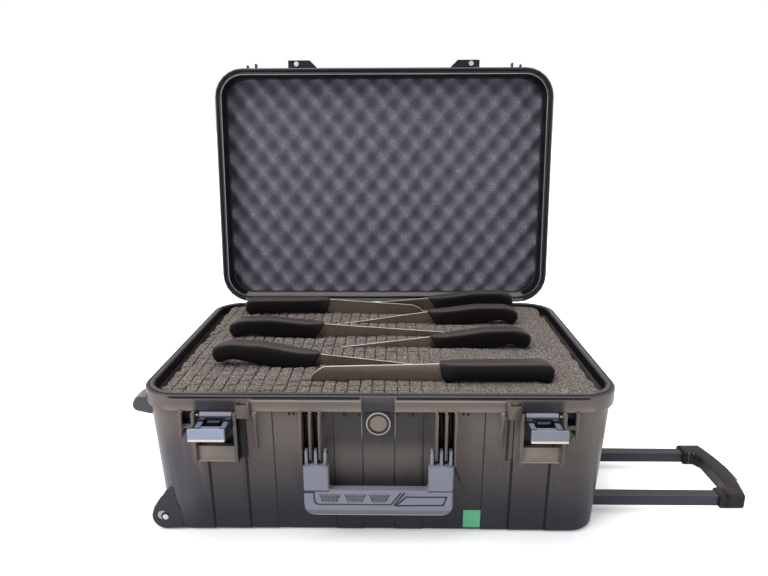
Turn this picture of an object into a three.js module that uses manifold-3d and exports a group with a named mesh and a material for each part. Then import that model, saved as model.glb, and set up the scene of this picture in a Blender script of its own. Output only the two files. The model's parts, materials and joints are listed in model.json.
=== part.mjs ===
// Hard wheeled case for chef knives, open, with seven knives in cut foam.
// Millimetres, +X to the pull-out handle, +Y to the hinges, +Z up.
// The origin is the centre of the underside, on the surface that the case stands on.

import * as THREE from 'three';
import * as BufferGeometryUtils from 'three/addons/utils/BufferGeometryUtils.js';
import Module from 'manifold-3d';

const wasm = await Module();
wasm.setup();

// Driving dimensions of the case
const caseLength = 568;
const caseDepth = 397;
const baseHeight = 188;
const lidHeight = 51.4;
const rimCornerRadius = 48;
const rimEdge = 1.5;
const flangeHeight = 20;
const flangeOverhang = 4;
const flangeOverhangDepth = 5;
const draftLength = 10.5;
const draftDepth = 10.5;
const bottomCornerRadius = 35;
const bottomEdgeRadius = 5;
const rimWidth = 11;
const wallBottom = 5;
const floorThickness = 4.5;
const cornerSteps = 6;

// Clearances, and how deep a piece moulded on the wall goes into it
const partingGap = 0.6;
const seatGap = 0.3;
const runningGap = 0.6;
const foamGap = 0.6;
const pinGap = 0.3;
const wallBite = 3.5;
const fuse = 1;

// Long walls: the band and the recess on the rim, and how far each panel lies back
const panelSetbacks = [2.4, 1.6, 2.4, 1.6, 0.8, 0];
const middlePanels = [19, 53, 125];
const latchPanelOffsets = [-29.7, 15.3];
const panelSlope = 1.5;
const panelGap = 0.5;
const rimBandProud = 1.5;
const rimRecessDepth = 2;
const rimNotches = [38, 109];
const rimNotchWidth = 6;
const rimNotchHeight = 8;

// Rim seal
const grooveInset = 5.5;
const grooveWidth = 4;
const grooveDepth = 4;
const tongueWidth = 2.4;
const tongueHeight = 1;
const gasketHeight = 2.3;

// Double floor with the channel for the pull-out handle
const channelFloor = 32;
const channelRoof = 3.5;
const channelWall = 5;
const channelSideRoom = 9;
const channelEndWall = 4;
const channelRightWall = 7;
const coverThickness = 3;
const coverLip = 6;
const coverEndLip = 2;

// Pull-out handle, pulled out by this much from the end of the case
const handlePull = 153;
const tubeSize = 14;
const tubeHeight = 18.5;
const tubeWall = 1.5;
const tubeLength = 518;
const tubeSideInset = 65.5;
const tubeSpacing = 110;
const gripDepth = 33;
const gripBarInset = 20;
const gripBarFillet = 6;
const gripSleeve = 22;
const gripShoulder = 10;
const gripBulge = 10;
const gripBulgeSteps = 8;
const gripHeight = 20;
const gripFrontMargin = 11;
const gripRearMargin = 14;
const gripRearShoulder = 3;
const gripCorner = 3;
const gripBevel = 2.5;
const socketDepth = 15;
const guideLength = 26;
const guideWidth = 24;
const buttonLength = 36;
const buttonHeight = 9;
const buttonTravel = 3;
const buttonProud = 3.6;
const buttonStem = 9;

// Wheels at the two left corners
const wheelRadius = 18.5;
const wheelWidth = 20;
const wheelLift = 0.5;
const wheelEndInset = 19;
const wheelSideInset = 21;
const treadChamfer = 2.5;
const hubRadius = 11;
const axleRadius = 3;
const axleHeadRadius = 3.6;
const axleHeadHeight = 1.4;
const wheelGap = 1.6;
const wellGap = 3;
const cheekThickness = 3.4;
const cheekRadius = 17;
const housingRise = 42;
const housingCrown = 14.5;

// Stand feet under the left end of the rim
const footWidth = 22;
const footSideInset = 42;
const footReach = 15;
const footDrop = 20;
const footRise = 6;
const footBevel = 1.5;

// Hinges
const hingeProud = 6.5;
const hingeDrop = 9.6;
const hingeEndInset = 113;
const knuckleRadius = 5.5;
const knuckleLength = 22;
const knuckleGap = 0.8;
const hingeArmRise = 11;
const hingePinRadius = 2.2;
const lidOpenAngle = 94.3;

// Lid
const lidBandHeight = 14.6;
const lidBandEdge = 0.8;
const lidSetback = 5.5;
const lidLean = 2;
const lidCrown = 6;
const lidCrownInset = 10;
const lidCeiling = 3;
const lidCeilingFillet = 5;
const lidFoamThickness = 20;
const lidFoamValley = 13;
const eggPitch = 19.5;
const lidRibPlaces = [-120, -60, 0, 60, 120];
const lidRibWidth = 16;
const lidRibHeight = 1.6;
const lidRibMargin = 46;

// Lugs on the lid's front rim, each with its screw, and the padlock prongs
const lugEndInset = 125;
const lugOuterLength = 20;
const lugInnerLength = 28;
const lugReach = 12;
const lugHeight = 14;
const lugSlope = 12;
const lugScrewInset = 14;
const lugScrewReach = 6;
const lugScrewRadius = 4;
const lugShaftRadius = 3;
const lugHeadHeight = 1.7;
const lugShaftLength = 7.5;
const prongThickness = 2.6;
const prongHeight = 10;
const prongReaches = [7, 4.5];
const prongSpacing = 14;

// Latches
const latchEndInset = 95.5;
const latchWidth = 40.5;
const latchAxisInset = 0.5;
const latchAxisDrop = 4.3;
const latchBarrel = 4.2;
const latchLength = 44.5;
const latchSkin = 2.5;
const latchDeep = 11;
const latchCheek = 8.5;
const latchShoulder = 2.2;
const latchRidgeWidth = 14;
const latchRidgeLength = 11;
const latchPinRadius = 1.5;
const toothRise = 3;
const toothLength = 4.2;
const triggerReach = 28;
const triggerDrop = 7;
const triggerTongue = 6;
const triggerTongueRise = 3.5;
const triggerPinRadius = 1.2;
const triggerPinInset = 1.5;
const triggerGap = 1.2;
const ribProud = 8;
const latchRibDrop = 62;
const latchRibThickness = 3.6;
const latchInnerGap = 0.9;
const latchOuterGap = 3.6;
const latchRecess = 1.5;
const flapDrop = 42;
const flapProud = 3;

// Sockets for the lugs, with a channel, a buttress and a padlock tab by each
const socketEndInset = 128;
const socketWidth = 14;
const socketRise = 13;
const socketSlot = 8;
const socketSlotReach = 5.3;
const socketSlotDepth = 2.5;
const channelWidth = 11;
const channelTrimDepth = 2.5;
const buttressWidth = 4;
const buttressGap = 3;
const buttressHeight = 50;
const buttressProud = 4;
const tabReach = 13;
const tabHeight = 4;
const tabDrop = 15;
const tabProud = 4;
const tabRibHeight = 30;
const tabRibProud = 5;

// Carry handle
const handleRibs = [68, 79, 90];
const handleRibThickness = 3;
const handleRibDrop = 70;
const handleRibSlope = 6;
const handleRibLift = 2;
const handleAxisProud = 1.5;
const handleAxisDrop = 49.5;
const handleOuterX = 88.2;
const handleArm = 29.4;
const handleSwing = 79.7;
const handleBarHeight = 33;
const handleProngDrop = 14.5;
const handleProngThickness = 3.4;
const handleProngRadius = 4.6;
const handleProud = 10;
const handleThickness = 14;
const handleCorner = 15;
const handleFillet = 2.5;
const handleBevel = 2;
const handlePinRadius = 1.6;
const handlePinOverhang = 1.5;
const padDepth = 1.6;
const padProud = 0.4;
const padSideInset = 12.3;
const padLowInset = 15.7;
const padHighInset = 2.6;
const padLowEnd = 14;
const padHighEnd = 25;

// Pressure valve
const valveDrop = 14.8;
const valveRadius = 14.2;
const valveBoss = 1.5;
const valveBossProud = 3.9;
const valveThickness = 4.1;
const valveStemRadius = 8;
const valveStemProud = 0.8;
const valveVentRadius = 10;
const valveVentRim = 0.9;
const valveVentDepth = 2;
const valveBars = [-6, -2, 2, 6];
const valveBarWidth = 1.8;

// Foam
const foamDrop = 4;
const foamEndGap = 10;
const foamSplit = 120;
const slitWidth = 3;
const slitMargin = 3;
const slitRoot = 6;
const bedGap = 1;
const bedMargin = 4;
const bedDrop = 6;

// Label
const labelX = 114;
const labelWidth = 21;
const labelBottom = 6;
const labelHeight = 25;
const labelThickness = 0.6;

// Knives
const handleLength = 140;
const handleTall = 23;
const handleThick = 19;
const handleEdge = 4;
const bladeThickness = 2;
const bladeRoot = 2;

// Values worked out from the driving dimensions
const halfLength = caseLength / 2;
const halfDepth = caseDepth / 2;
const flangeBottom = baseHeight - flangeHeight;
const lidRim = baseHeight + partingGap;
const lidTop = lidRim + lidHeight;
const lidBandTop = lidRim + lidBandHeight;
const bodyTopX = halfLength - flangeOverhang;
const bodyTopY = halfDepth - flangeOverhangDepth;
const bodyRadius = rimCornerRadius - flangeOverhang;
const cavityTopX = halfLength - rimWidth;
const cavityTopY = halfDepth - rimWidth;
const cavityTopRadius = rimCornerRadius - rimWidth;
const hingeY = halfDepth + hingeProud;
const hingeZ = baseHeight - hingeDrop;
const hingeCentres = [hingeEndInset - halfLength, halfLength - hingeEndInset];
const lidTurn = -THREE.MathUtils.degToRad(lidOpenAngle);
const latchCentre = halfLength - latchEndInset;
const latchInner = latchCentre - latchWidth / 2 - latchInnerGap;
const latchOuter = latchCentre + latchWidth / 2 + latchOuterGap;
const latchAxisY = latchAxisInset - halfDepth;
const latchAxisZ = flangeBottom - latchAxisDrop;
const ribFront = -halfDepth - ribProud;
const panelEdges = [...middlePanels, ...latchPanelOffsets.map((offset) => latchCentre + offset)];
const lugOuter = halfLength - lugEndInset;
const lugMiddle = lugOuter - lugOuterLength;
const lugInner = lugMiddle - lugInnerLength;
const lugScrewX = lugOuter - lugScrewInset;
const lugScrewY = -halfDepth - lugScrewReach;
const socketInner = halfLength - socketEndInset - socketWidth / 2;
const socketOuter = socketInner + socketWidth;
const buttressOuter = socketInner - buttressGap;
const wheelCentreX = wheelEndInset - halfLength;
const wheelCentreZ = wheelRadius + wheelLift;
const wheelFrontY = wheelSideInset - halfDepth;
const wheelRearFace = wheelFrontY + wheelWidth;
const tubeFrontY = tubeSideInset - halfDepth;
const gripInnerX = halfLength + handlePull;
const gripEndX = gripInnerX + gripDepth;
const handleAxisY = -halfDepth - handleAxisProud;
const handleAxisZ = flangeBottom - handleAxisDrop;
const handleFront = -halfDepth - handleProud;
const handleBottom = handleAxisZ - handleSwing;
const handleBarTop = handleBottom + handleBarHeight;
const handleProngBase = handleAxisZ - handleProngDrop;
const valveZ = flangeBottom - valveDrop;
const valveStemEnd = valveStemProud - cavityTopY;
const foamTop = baseHeight - foamDrop;
const sides = [{ tag: 'left', sign: -1 }, { tag: 'right', sign: 1 }];
const ends = [{ tag: 'front', sign: 1 }, { tag: 'rear', sign: -1 }];

// Knives: bolster x and y, rise of the spine there over the foam, tilt of the whole knife
// in degrees, blade length and height, and how far the spine falls to the tip
const knifeRows = [
  { x: -89, y: halfDepth - 51, rise: 26, tilt: -1, length: 160, tall: 38, fall: 14, curved: false },
  { x: 77, y: halfDepth - 31, rise: 21.5, tilt: 1.5, length: 150, tall: 32, fall: 10, curved: true },
  { x: -86, y: 29, rise: 20, tilt: 0, length: 215, tall: 36, fall: 14, curved: true },
  { x: 72, y: halfDepth - 105, rise: 19.5, tilt: 0.5, length: 150, tall: 32, fall: 19, curved: true },
  { x: -79, y: -88, rise: 13, tilt: 4, length: 160, tall: 30, fall: 7, curved: true },
  { x: 70, y: -17, rise: 16, tilt: 2, length: 165, tall: 32, fall: 14, curved: true },
  { x: 74, y: 58.5 - halfDepth, rise: 24, tilt: 0, length: 166, tall: 42, fall: 6, curved: false },
];

// Materials
const finish = (color, roughness, metalness = 0) =>
  new THREE.MeshStandardMaterial({ color, roughness, metalness });
const shellPlastic = finish(0x48454a, 0.42);
const greyPlastic = finish(0x92939f, 0.5);
const darkPlastic = finish(0x24252c, 0.45);
const rubber = finish(0x1b1b1d, 0.8);
const pluckFoam = finish(0x7a7268, 0.98);
const eggFoam = finish(0x514f57, 0.98);
const steel = finish(0xb9b4ab, 0.3, 1);
const bladeSteel = finish(0xa7a199, 0.28, 1);
const tubePaint = finish(0x3c3b44, 0.4, 0.6);
const handlePlastic = finish(0x17151a, 0.55);
const labelGreen = finish(0x3a9d63, 0.6);

// Solids and shapes

// Turns a closed three.js geometry into a solid that can be joined and cut
function solid(geometry) {
  const bare = geometry.index ? geometry.toNonIndexed() : geometry.clone();
  for (const key of Object.keys(bare.attributes)) {
    if (key !== 'position') bare.deleteAttribute(key);
  }
  const merged = BufferGeometryUtils.mergeVertices(bare, 1e-4);
  return new wasm.Manifold(new wasm.Mesh({
    numProp: 3,
    vertProperties: new Float32Array(merged.attributes.position.array),
    triVerts: new Uint32Array(merged.index.array),
  }));
}

// Turns a solid back into a geometry
function geometryOf(body) {
  const mesh = body.getMesh();
  const geometry = new THREE.BufferGeometry();
  const places = new Float32Array(mesh.vertProperties);
  geometry.setAttribute('position', new THREE.BufferAttribute(places, 3));
  geometry.setIndex(new THREE.BufferAttribute(new Uint32Array(mesh.triVerts), 1));
  const flat = geometry.toNonIndexed();
  flat.computeVertexNormals();
  return flat;
}

function part(name, body, material) {
  const mesh = new THREE.Mesh(body.isBufferGeometry ? body : geometryOf(body), material);
  mesh.name = name;
  return mesh;
}

function joined(first, ...others) {
  return others.reduce((body, other) => body.add(other), first);
}

function cut(first, ...others) {
  return others.reduce((body, other) => body.subtract(other), first);
}

function block(x0, x1, y0, y1, z0, z1) {
  const geometry = new THREE.BoxGeometry(Math.abs(x1 - x0), Math.abs(y1 - y0), Math.abs(z1 - z0));
  geometry.translate((x0 + x1) / 2, (y0 + y1) / 2, (z0 + z1) / 2);
  return solid(geometry);
}

// Frames that lay a drawn outline across X, Y or Z
const across = {
  x: new THREE.Matrix4().makeBasis(
    new THREE.Vector3(0, 1, 0), new THREE.Vector3(0, 0, 1), new THREE.Vector3(1, 0, 0)),
  y: new THREE.Matrix4().makeBasis(
    new THREE.Vector3(1, 0, 0), new THREE.Vector3(0, 0, 1), new THREE.Vector3(0, -1, 0)),
  z: new THREE.Matrix4(),
};

// Extrudes an outline along an axis, between two places on it
// The outline's points are (y, z) for x, (x, z) for y and (x, y) for z
function prism(axis, outline, from, to, bevel = 0) {
  const drawn = outline instanceof THREE.Shape;
  const shape = drawn ? outline : new THREE.Shape(outline.map(([u, v]) => new THREE.Vector2(u, v)));
  const geometry = new THREE.ExtrudeGeometry(shape, {
    depth: to - from - 2 * bevel,
    bevelEnabled: bevel > 0,
    bevelSize: bevel,
    bevelThickness: bevel,
    bevelOffset: -bevel,
    bevelSegments: 1,
    curveSegments: 6,
  });
  geometry.translate(0, 0, bevel);
  geometry.applyMatrix4(across[axis]);
  if (axis === 'x') geometry.translate(from, 0, 0);
  if (axis === 'y') geometry.translate(0, to, 0);
  if (axis === 'z') geometry.translate(0, 0, from);
  return solid(geometry);
}

// A round bar along an axis, centred on two coordinates
function rod(axis, radius, from, to, u, v, segments = 20) {
  const geometry = new THREE.CylinderGeometry(radius, radius, to - from, segments);
  const middle = (from + to) / 2;
  if (axis === 'x') {
    geometry.rotateZ(-Math.PI / 2);
    geometry.translate(middle, u, v);
  }
  if (axis === 'y') geometry.translate(u, middle, v);
  if (axis === 'z') {
    geometry.rotateX(Math.PI / 2);
    geometry.translate(u, v, middle);
  }
  return solid(geometry);
}

// Low and high end of a stretch that is measured outwards from the middle, on one side
function span(sign, near, far) {
  return sign > 0 ? [near, far] : [-far, -near];
}

// Points along a long wall from left to right, where the panels lie back by their setbacks
function panelLine(halfY, setbacks) {
  const half = panelEdges.flatMap((edge, i) => [
    [edge - panelSlope / 2, -halfY + setbacks[i]],
    [edge + panelSlope / 2, -halfY + setbacks[i + 1]],
  ]);
  return [...half.map(([x, y]) => [-x, y]).reverse(), ...half];
}

// A rectangle with round corners, counterclockwise, as [x, y] points
// With setbacks, its front and its rear have panels
function planOutline(halfX, halfY, radius, setbacks = null) {
  const front = setbacks ? panelLine(halfY, setbacks) : [];
  const points = [...front];
  const corners = [[1, -1, -90], [1, 1, 0], [-1, 1, 90], [-1, -1, 180]];
  for (const [sx, sy, start] of corners) {
    if (sx < 0 && sy > 0) points.push(...front.map(([x, y]) => [-x, -y]));
    for (let i = 0; i <= cornerSteps; i += 1) {
      const angle = THREE.MathUtils.degToRad(start + (90 * i) / cornerSteps);
      points.push([
        sx * (halfX - radius) + radius * Math.cos(angle),
        sy * (halfY - radius) + radius * Math.sin(angle),
      ]);
    }
  }
  return points;
}

// The outline of the rim, made smaller by an inset
function rimOutline(inset) {
  return planOutline(halfLength - inset, halfDepth - inset, rimCornerRadius - inset);
}

// Skins a stack of outlines with the same number of points into one closed body
function loft(rings) {
  const count = rings[0].points.length;
  const positions = [];
  const corner = (ring, i) => {
    const [x, y] = ring.points[i % count];
    return [x, y, ring.z];
  };
  const triangle = (a, b, c) => positions.push(...a, ...b, ...c);
  for (let level = 0; level + 1 < rings.length; level += 1) {
    const low = rings[level];
    const high = rings[level + 1];
    for (let i = 0; i < count; i += 1) {
      triangle(corner(low, i), corner(low, i + 1), corner(high, i + 1));
      triangle(corner(low, i), corner(high, i + 1), corner(high, i));
    }
  }
  const caps = [[rings[0], true], [rings[rings.length - 1], false]];
  for (const [ring, down] of caps) {
    const contour = ring.points.map(([x, y]) => new THREE.Vector2(x, y));
    for (const [a, b, c] of THREE.ShapeUtils.triangulateShape(contour, [])) {
      if (down) triangle(corner(ring, a), corner(ring, c), corner(ring, b));
      else triangle(corner(ring, a), corner(ring, b), corner(ring, c));
    }
  }
  const geometry = new THREE.BufferGeometry();
  geometry.setAttribute('position', new THREE.Float32BufferAttribute(positions, 3));
  return solid(geometry);
}

// A plain ring of rectangular section that follows the rim
function rimRing(inset, width, from, to) {
  const shape = new THREE.Shape(rimOutline(inset).map(([x, y]) => new THREE.Vector2(x, y)));
  const inner = rimOutline(inset + width).map(([x, y]) => new THREE.Vector2(x, y));
  shape.holes.push(new THREE.Path(inner));
  return prism('z', shape, from, to);
}

// Half length of the body at a height, and its half depth, before any panel setback
function bodyHalfX(z) {
  return bodyTopX - draftLength * (1 - z / flangeBottom);
}

function bodyHalfY(z) {
  return bodyTopY - draftDepth * (1 - z / flangeBottom);
}

function bodyCorner(z) {
  return bottomCornerRadius + (bodyRadius - bottomCornerRadius) * (z / flangeBottom);
}

// The drafted outside of the base, grown by a margin
function bodyForm(margin = 0) {
  const ring = (z, inset) => ({
    z,
    points: planOutline(
      bodyHalfX(z) - inset + margin, bodyHalfY(z) - inset + margin,
      bodyCorner(z) - inset + margin, panelSetbacks),
  });
  const chamfer = bottomEdgeRadius * 0.35;
  return loft([
    ring(-margin, bottomEdgeRadius),
    ring(chamfer - margin, chamfer),
    ring(bottomEdgeRadius, 0),
    ring(flangeBottom + fuse, 0),
  ]);
}

// A piece moulded on the front wall, from one height to another, with its front edge
function wallPiece([x0, x1], bottom, top, frontEdge) {
  const back = (z) => wallBite - bodyHalfY(z);
  return prism('x', [[back(top), top], ...frontEdge, [back(bottom), bottom]].reverse(), x0, x1);
}

// How far the hollow's walls lean in at a height, lengthwise and across
function cavityLean(z) {
  const drop = 1 - (z - floorThickness) / (baseHeight - floorThickness);
  const fullX = cavityTopX - (bodyHalfX(0) - wallBottom);
  const fullY = cavityTopY - (bodyHalfY(0) - wallBottom - panelSetbacks[0] / 2);
  return { x: fullX * drop, y: fullY * drop };
}

// The hollow of the base between two heights, made smaller by a margin
function cavityForm(from, to, margin = 0) {
  const ring = (z) => {
    const lean = cavityLean(z);
    return {
      z,
      points: planOutline(
        cavityTopX - lean.x - margin, cavityTopY - lean.y - margin,
        cavityTopRadius - lean.x - margin),
    };
  };
  return loft([ring(from), ring(to)]);
}

// Base

const tubeCentres = { front: tubeFrontY, rear: tubeFrontY + tubeSpacing };
const channelLeft = wheelCentreX + wheelRadius + wellGap + channelEndWall;
const channelRight = bodyHalfX(0) - channelRightWall;
const channelFront = tubeFrontY - tubeSize / 2 - channelSideRoom;
const channelRear = tubeFrontY + tubeSpacing + tubeSize / 2 + channelSideRoom;
const channelTop = channelFloor - channelRoof;
const floorStepY = channelRear + channelWall;

// What the floor leaves free: high over the channel, low behind it
function innerSpace(top, margin = 0) {
  const stepTop = channelFloor + wallBottom;
  const high = cavityForm(channelFloor + margin, top, margin);
  const low = cavityForm(floorThickness + margin, stepTop, margin);
  return high.add(low.intersect(
    block(-halfLength, halfLength, floorStepY + margin, halfDepth, 0, stepTop)));
}

// Round room for a wheel and its housing, at the front for sign 1 and at the rear for -1
function wellForm(margin) {
  const radius = wheelRadius + wellGap + margin;
  const back = wheelRearFace + wheelGap + cheekThickness + 2 * seatGap + margin;
  const front = wheelFrontY - wheelWidth;
  return (sign) => {
    const [y0, y1] = sign > 0 ? [front, back] : [-back, -front];
    return rod('y', radius, y0, y1, wheelCentreX, wheelCentreZ, 24);
  };
}

const wheelWell = wellForm(0);
const wheelArch = wellForm(wallBottom);
const wheelArchRoom = wellForm(wallBottom + foamGap);

// Two ribs that carry a latch, and the flap under its recess
function latchSeat(sign) {
  const bottom = flangeBottom - latchRibDrop;
  const top = flangeBottom + fuse;
  const rib = (near, far) => wallPiece(
    span(sign, near, far), bottom, top, [[ribFront, top], [ribFront, bottom]]);
  const flapTop = flangeBottom - flapDrop;
  const flapFront = -halfDepth - flapProud;
  return joined(
    rib(latchInner - latchRibThickness, latchInner),
    rib(latchOuter, latchOuter + latchRibThickness),
    wallPiece(span(sign, latchInner, latchOuter), bottom, flapTop,
      [[flapFront, flapTop], [flapFront, bottom]]));
}

function latchPocket(sign) {
  const reach = latchRibThickness + seatGap;
  const [x0, x1] = span(sign, latchInner, latchOuter);
  const [pin0, pin1] = span(sign, latchInner - reach, latchOuter + reach);
  return joined(
    block(x0, x1, ribFront - fuse, latchRecess - bodyTopY, flangeBottom - flapDrop, flangeBottom),
    rod('x', latchPinRadius + pinGap, pin0, pin1, latchAxisY, latchAxisZ, 12));
}

// Block with a socket that the lid's lug meets, its buttress and a padlock tab with its rib
function sideTrim(sign) {
  const socketTop = flangeBottom + socketRise;
  const socketBottom = flangeBottom - tongueWidth * 2;
  const socketFront = -halfDepth - ribProud;
  const buttressTop = flangeBottom + fuse;
  const buttressBottom = flangeBottom - buttressHeight;
  const buttressFront = -halfDepth - buttressProud;
  const tabTop = flangeBottom - tabDrop;
  const tabFront = -halfDepth - tabProud;
  const tabNear = latchOuter + latchRibThickness - fuse;
  const tabFar = tabNear + tabReach + fuse;
  const ribBottom = flangeBottom - tabRibHeight;
  return joined(
    wallPiece(span(sign, socketInner, socketOuter), socketBottom, socketTop,
      [[socketFront, socketTop], [socketFront, socketBottom]]),
    wallPiece(span(sign, buttressOuter - buttressWidth, buttressOuter), buttressBottom, buttressTop,
      [[buttressFront, buttressTop], [buttressFront, buttressTop - buttressProud],
        [-bodyHalfY(buttressBottom) + seatGap, buttressBottom]]),
    wallPiece(span(sign, tabFar - fuse, tabFar + prongThickness), ribBottom, buttressTop,
      [[-halfDepth - tabRibProud, buttressTop], [-halfDepth - tabRibProud, ribBottom]]),
    wallPiece(span(sign, tabNear, tabFar), tabTop - tabHeight, tabTop,
      [[tabFront, tabTop], [tabFront, tabTop - tabHeight]]));
}

// The socket, the upright channel under it and two notches under the rim
function sideCuts(sign) {
  const socketMiddle = (socketInner + socketOuter) / 2;
  const socketTop = flangeBottom + socketRise;
  const socketFront = -halfDepth - socketSlotReach;
  const [slot0, slot1] = span(sign, socketMiddle - socketSlot / 2, socketMiddle + socketSlot / 2);
  const [way0, way1] = span(sign, socketMiddle - channelWidth / 2, socketMiddle + channelWidth / 2);
  const notches = rimNotches.map((x) => {
    const [x0, x1] = span(sign, x - rimNotchWidth / 2, x + rimNotchWidth / 2);
    return block(x0, x1, ribFront, channelTrimDepth + fuse / 2 - bodyTopY,
      flangeBottom - rimNotchHeight, flangeBottom - rimRecessDepth);
  });
  return joined(
    block(slot0, slot1, socketFront, socketFront + socketSlot * 0.66, socketTop - socketSlotDepth,
      socketTop + fuse),
    block(way0, way1, ribFront - socketSlot, channelTrimDepth - bodyTopY,
      flangeBottom - latchRibDrop + rimRecessDepth, flangeBottom - tongueWidth * 2 - panelGap),
    ...notches);
}

// Ribs that the carry handle's prongs stand between; the outermost one is longer
function handleRibSet(sign) {
  const outermost = Math.max(...handleRibs);
  const top = flangeBottom + fuse;
  const ribs = handleRibs.map((x) => {
    const half = handleRibThickness / 2;
    const bottom = x === outermost ? flangeBottom - handleRibDrop : handleProngBase + handleRibLift;
    return wallPiece(span(sign, x - half, x + half), bottom, top, [
      [ribFront, top], [ribFront, bottom + handleRibSlope], [ribFront + handleRibSlope, bottom],
    ]);
  });
  return joined(...ribs);
}

// The lid's arm hangs behind the rim, and a base arm runs straight back to its barrel
function hingeKnuckle(x, upward) {
  const end = x + knuckleLength;
  const barrel = rod('x', knuckleRadius, x, end, hingeY, hingeZ, 18);
  if (!upward) {
    const low = hingeZ - knuckleRadius;
    return barrel.add(block(x, end, bodyTopY - fuse, hingeY, low, low + 2 * knuckleRadius));
  }
  const bottom = lidRim + fuse;
  const top = bottom + hingeArmRise;
  return joined(
    barrel,
    block(x, end, halfDepth + partingGap, hingeY, hingeZ, top),
    block(x, end, halfDepth - wallBite, hingeY, bottom, top));
}

function hingeBore(centre) {
  const reach = 1.5 * knuckleLength + knuckleGap + seatGap;
  return rod('x', hingePinRadius + pinGap, centre - reach, centre + reach, hingeY, hingeZ, 14);
}

// Base knuckles stand at both ends of each hinge, and the lid's knuckle lies between them
const baseKnuckleOffsets = [-1.5 * knuckleLength - knuckleGap, knuckleLength / 2 + knuckleGap];

// The thick band round the top of the base, with the tongue on its face
function rimFlange() {
  const flange = loft([
    { z: flangeBottom, points: rimOutline(rimEdge) },
    { z: flangeBottom + rimEdge, points: rimOutline(0) },
    { z: baseHeight - rimEdge, points: rimOutline(0) },
    { z: baseHeight, points: rimOutline(rimEdge) },
  ]);
  const tongueInset = grooveInset + (grooveWidth - tongueWidth) / 2;
  return flange.add(
    rimRing(tongueInset, tongueWidth, baseHeight - fuse, baseHeight + tongueHeight));
}

// Raised band on each half of the rim's front, and the recess between the two
function rimBand(sign) {
  const [x0, x1] = span(sign, middlePanels[0] + panelGap, buttressOuter);
  return block(x0, x1, -halfDepth - rimBandProud, wallBite - halfDepth,
    flangeBottom + rimEdge, baseHeight - rimEdge);
}

function rimRecess() {
  const half = middlePanels[0] - panelGap;
  return block(-half, half, -halfDepth - ribProud, rimRecessDepth - halfDepth,
    flangeBottom - fuse, baseHeight - rimRecessDepth);
}

const valveSeat = panelSetbacks[0] - bodyHalfY(valveZ) - valveBossProud;
const valveFront = valveSeat - valveThickness;

function valveMount(body) {
  const back = wallBite + panelSetbacks[0] - bodyHalfY(valveZ);
  return body
    .add(rod('y', valveRadius + valveBoss, valveSeat, back, 0, valveZ, 28))
    .subtract(rod('y', valveStemRadius + pinGap, valveFront, back + rimWidth, 0, valveZ, 20));
}

function handlePinReach(margin) {
  return Math.max(...handleRibs) + handleRibThickness / 2 + margin;
}

// The channel under the floor, the seat of its cover and the tubes' way out
function channelCuts() {
  const half = tubeSize / 2 + runningGap;
  const ways = Object.values(tubeCentres).map((y) => block(
    channelRight - fuse, halfLength, y - half, y + half, tubeHeight - half, tubeHeight + half));
  return joined(
    block(channelLeft, channelRight, channelFront, channelRear, -fuse, channelTop),
    block(channelLeft - coverLip, channelRight + coverEndLip, channelFront - coverLip,
      channelRear + channelWall / 2, -fuse, coverThickness + seatGap),
    ...ways);
}

function baseShell() {
  const inside = bodyForm();
  let body = joined(inside, rimFlange()).subtract(innerSpace(baseHeight + tongueHeight + fuse));
  for (const { sign } of ends) body = body.add(wheelArch(sign).intersect(inside));
  for (const { sign } of sides) {
    body = joined(body, latchSeat(sign), sideTrim(sign), handleRibSet(sign), rimBand(sign));
    body = cut(body, latchPocket(sign), sideCuts(sign));
  }
  body = valveMount(body.subtract(rimRecess()));
  const pinReach = handlePinReach(seatGap);
  body = body.subtract(
    rod('x', handlePinRadius + pinGap, -pinReach, pinReach, handleAxisY, handleAxisZ, 12));
  for (const centre of hingeCentres) {
    for (const offset of baseKnuckleOffsets) body = body.add(hingeKnuckle(centre + offset, false));
    body = body.subtract(hingeBore(centre));
  }
  return cut(body, ...ends.map(({ sign }) => wheelWell(sign)), channelCuts());
}

function bottomCover() {
  return block(
    channelLeft - coverLip + seatGap, channelRight + coverEndLip - seatGap,
    channelFront - coverLip + seatGap, channelRear + channelWall / 2 - seatGap, 0, coverThickness);
}

// Foam, with a slit for each blade and a bed for each handle

// A knife points right from a left handle, and left from a right one
function knifeWay(knife) {
  return knife.x < 0 ? 1 : -1;
}

function knifeTilt(knife) {
  return THREE.MathUtils.degToRad(knife.tilt);
}

function spineZ(knife) {
  return foamTop + knife.rise;
}

function slitFor(knife) {
  const way = knifeWay(knife);
  const dip = knife.length * Math.sin(Math.abs(knifeTilt(knife)));
  return block(
    knife.x - way * slitRoot, knife.x + way * (knife.length + slitMargin),
    knife.y - slitWidth / 2, knife.y + slitWidth / 2,
    spineZ(knife) - knife.tall - dip - slitMargin, baseHeight);
}

function bedFor(knife) {
  const way = knifeWay(knife);
  const half = handleThick / 2 + bedGap;
  return block(
    knife.x + way * bedMargin, knife.x - way * (handleLength + bedMargin),
    knife.y - half, knife.y + half, spineZ(knife) - handleTall - bedDrop, baseHeight);
}

function baseFoam(from, to) {
  const reach = cavityTopX - foamEndGap;
  const layer = block(-reach, reach, -halfDepth, halfDepth, from, to);
  const room = innerSpace(foamTop, foamGap).intersect(layer);
  const cuts = knifeRows.flatMap((knife) => [slitFor(knife), bedFor(knife)]);
  return cut(room, ...ends.map(({ sign }) => wheelArchRoom(sign)), ...cuts);
}

// Small pieces of the base

function valveBody() {
  return cut(
    rod('y', valveRadius, valveFront, valveSeat - seatGap, 0, valveZ, 28)
      .add(rod('y', valveStemRadius, valveFront + fuse, valveStemEnd, 0, valveZ, 20)),
    rod('y', valveVentRadius + pinGap, valveFront - fuse, valveFront + valveVentDepth, 0, valveZ, 28));
}

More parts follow.
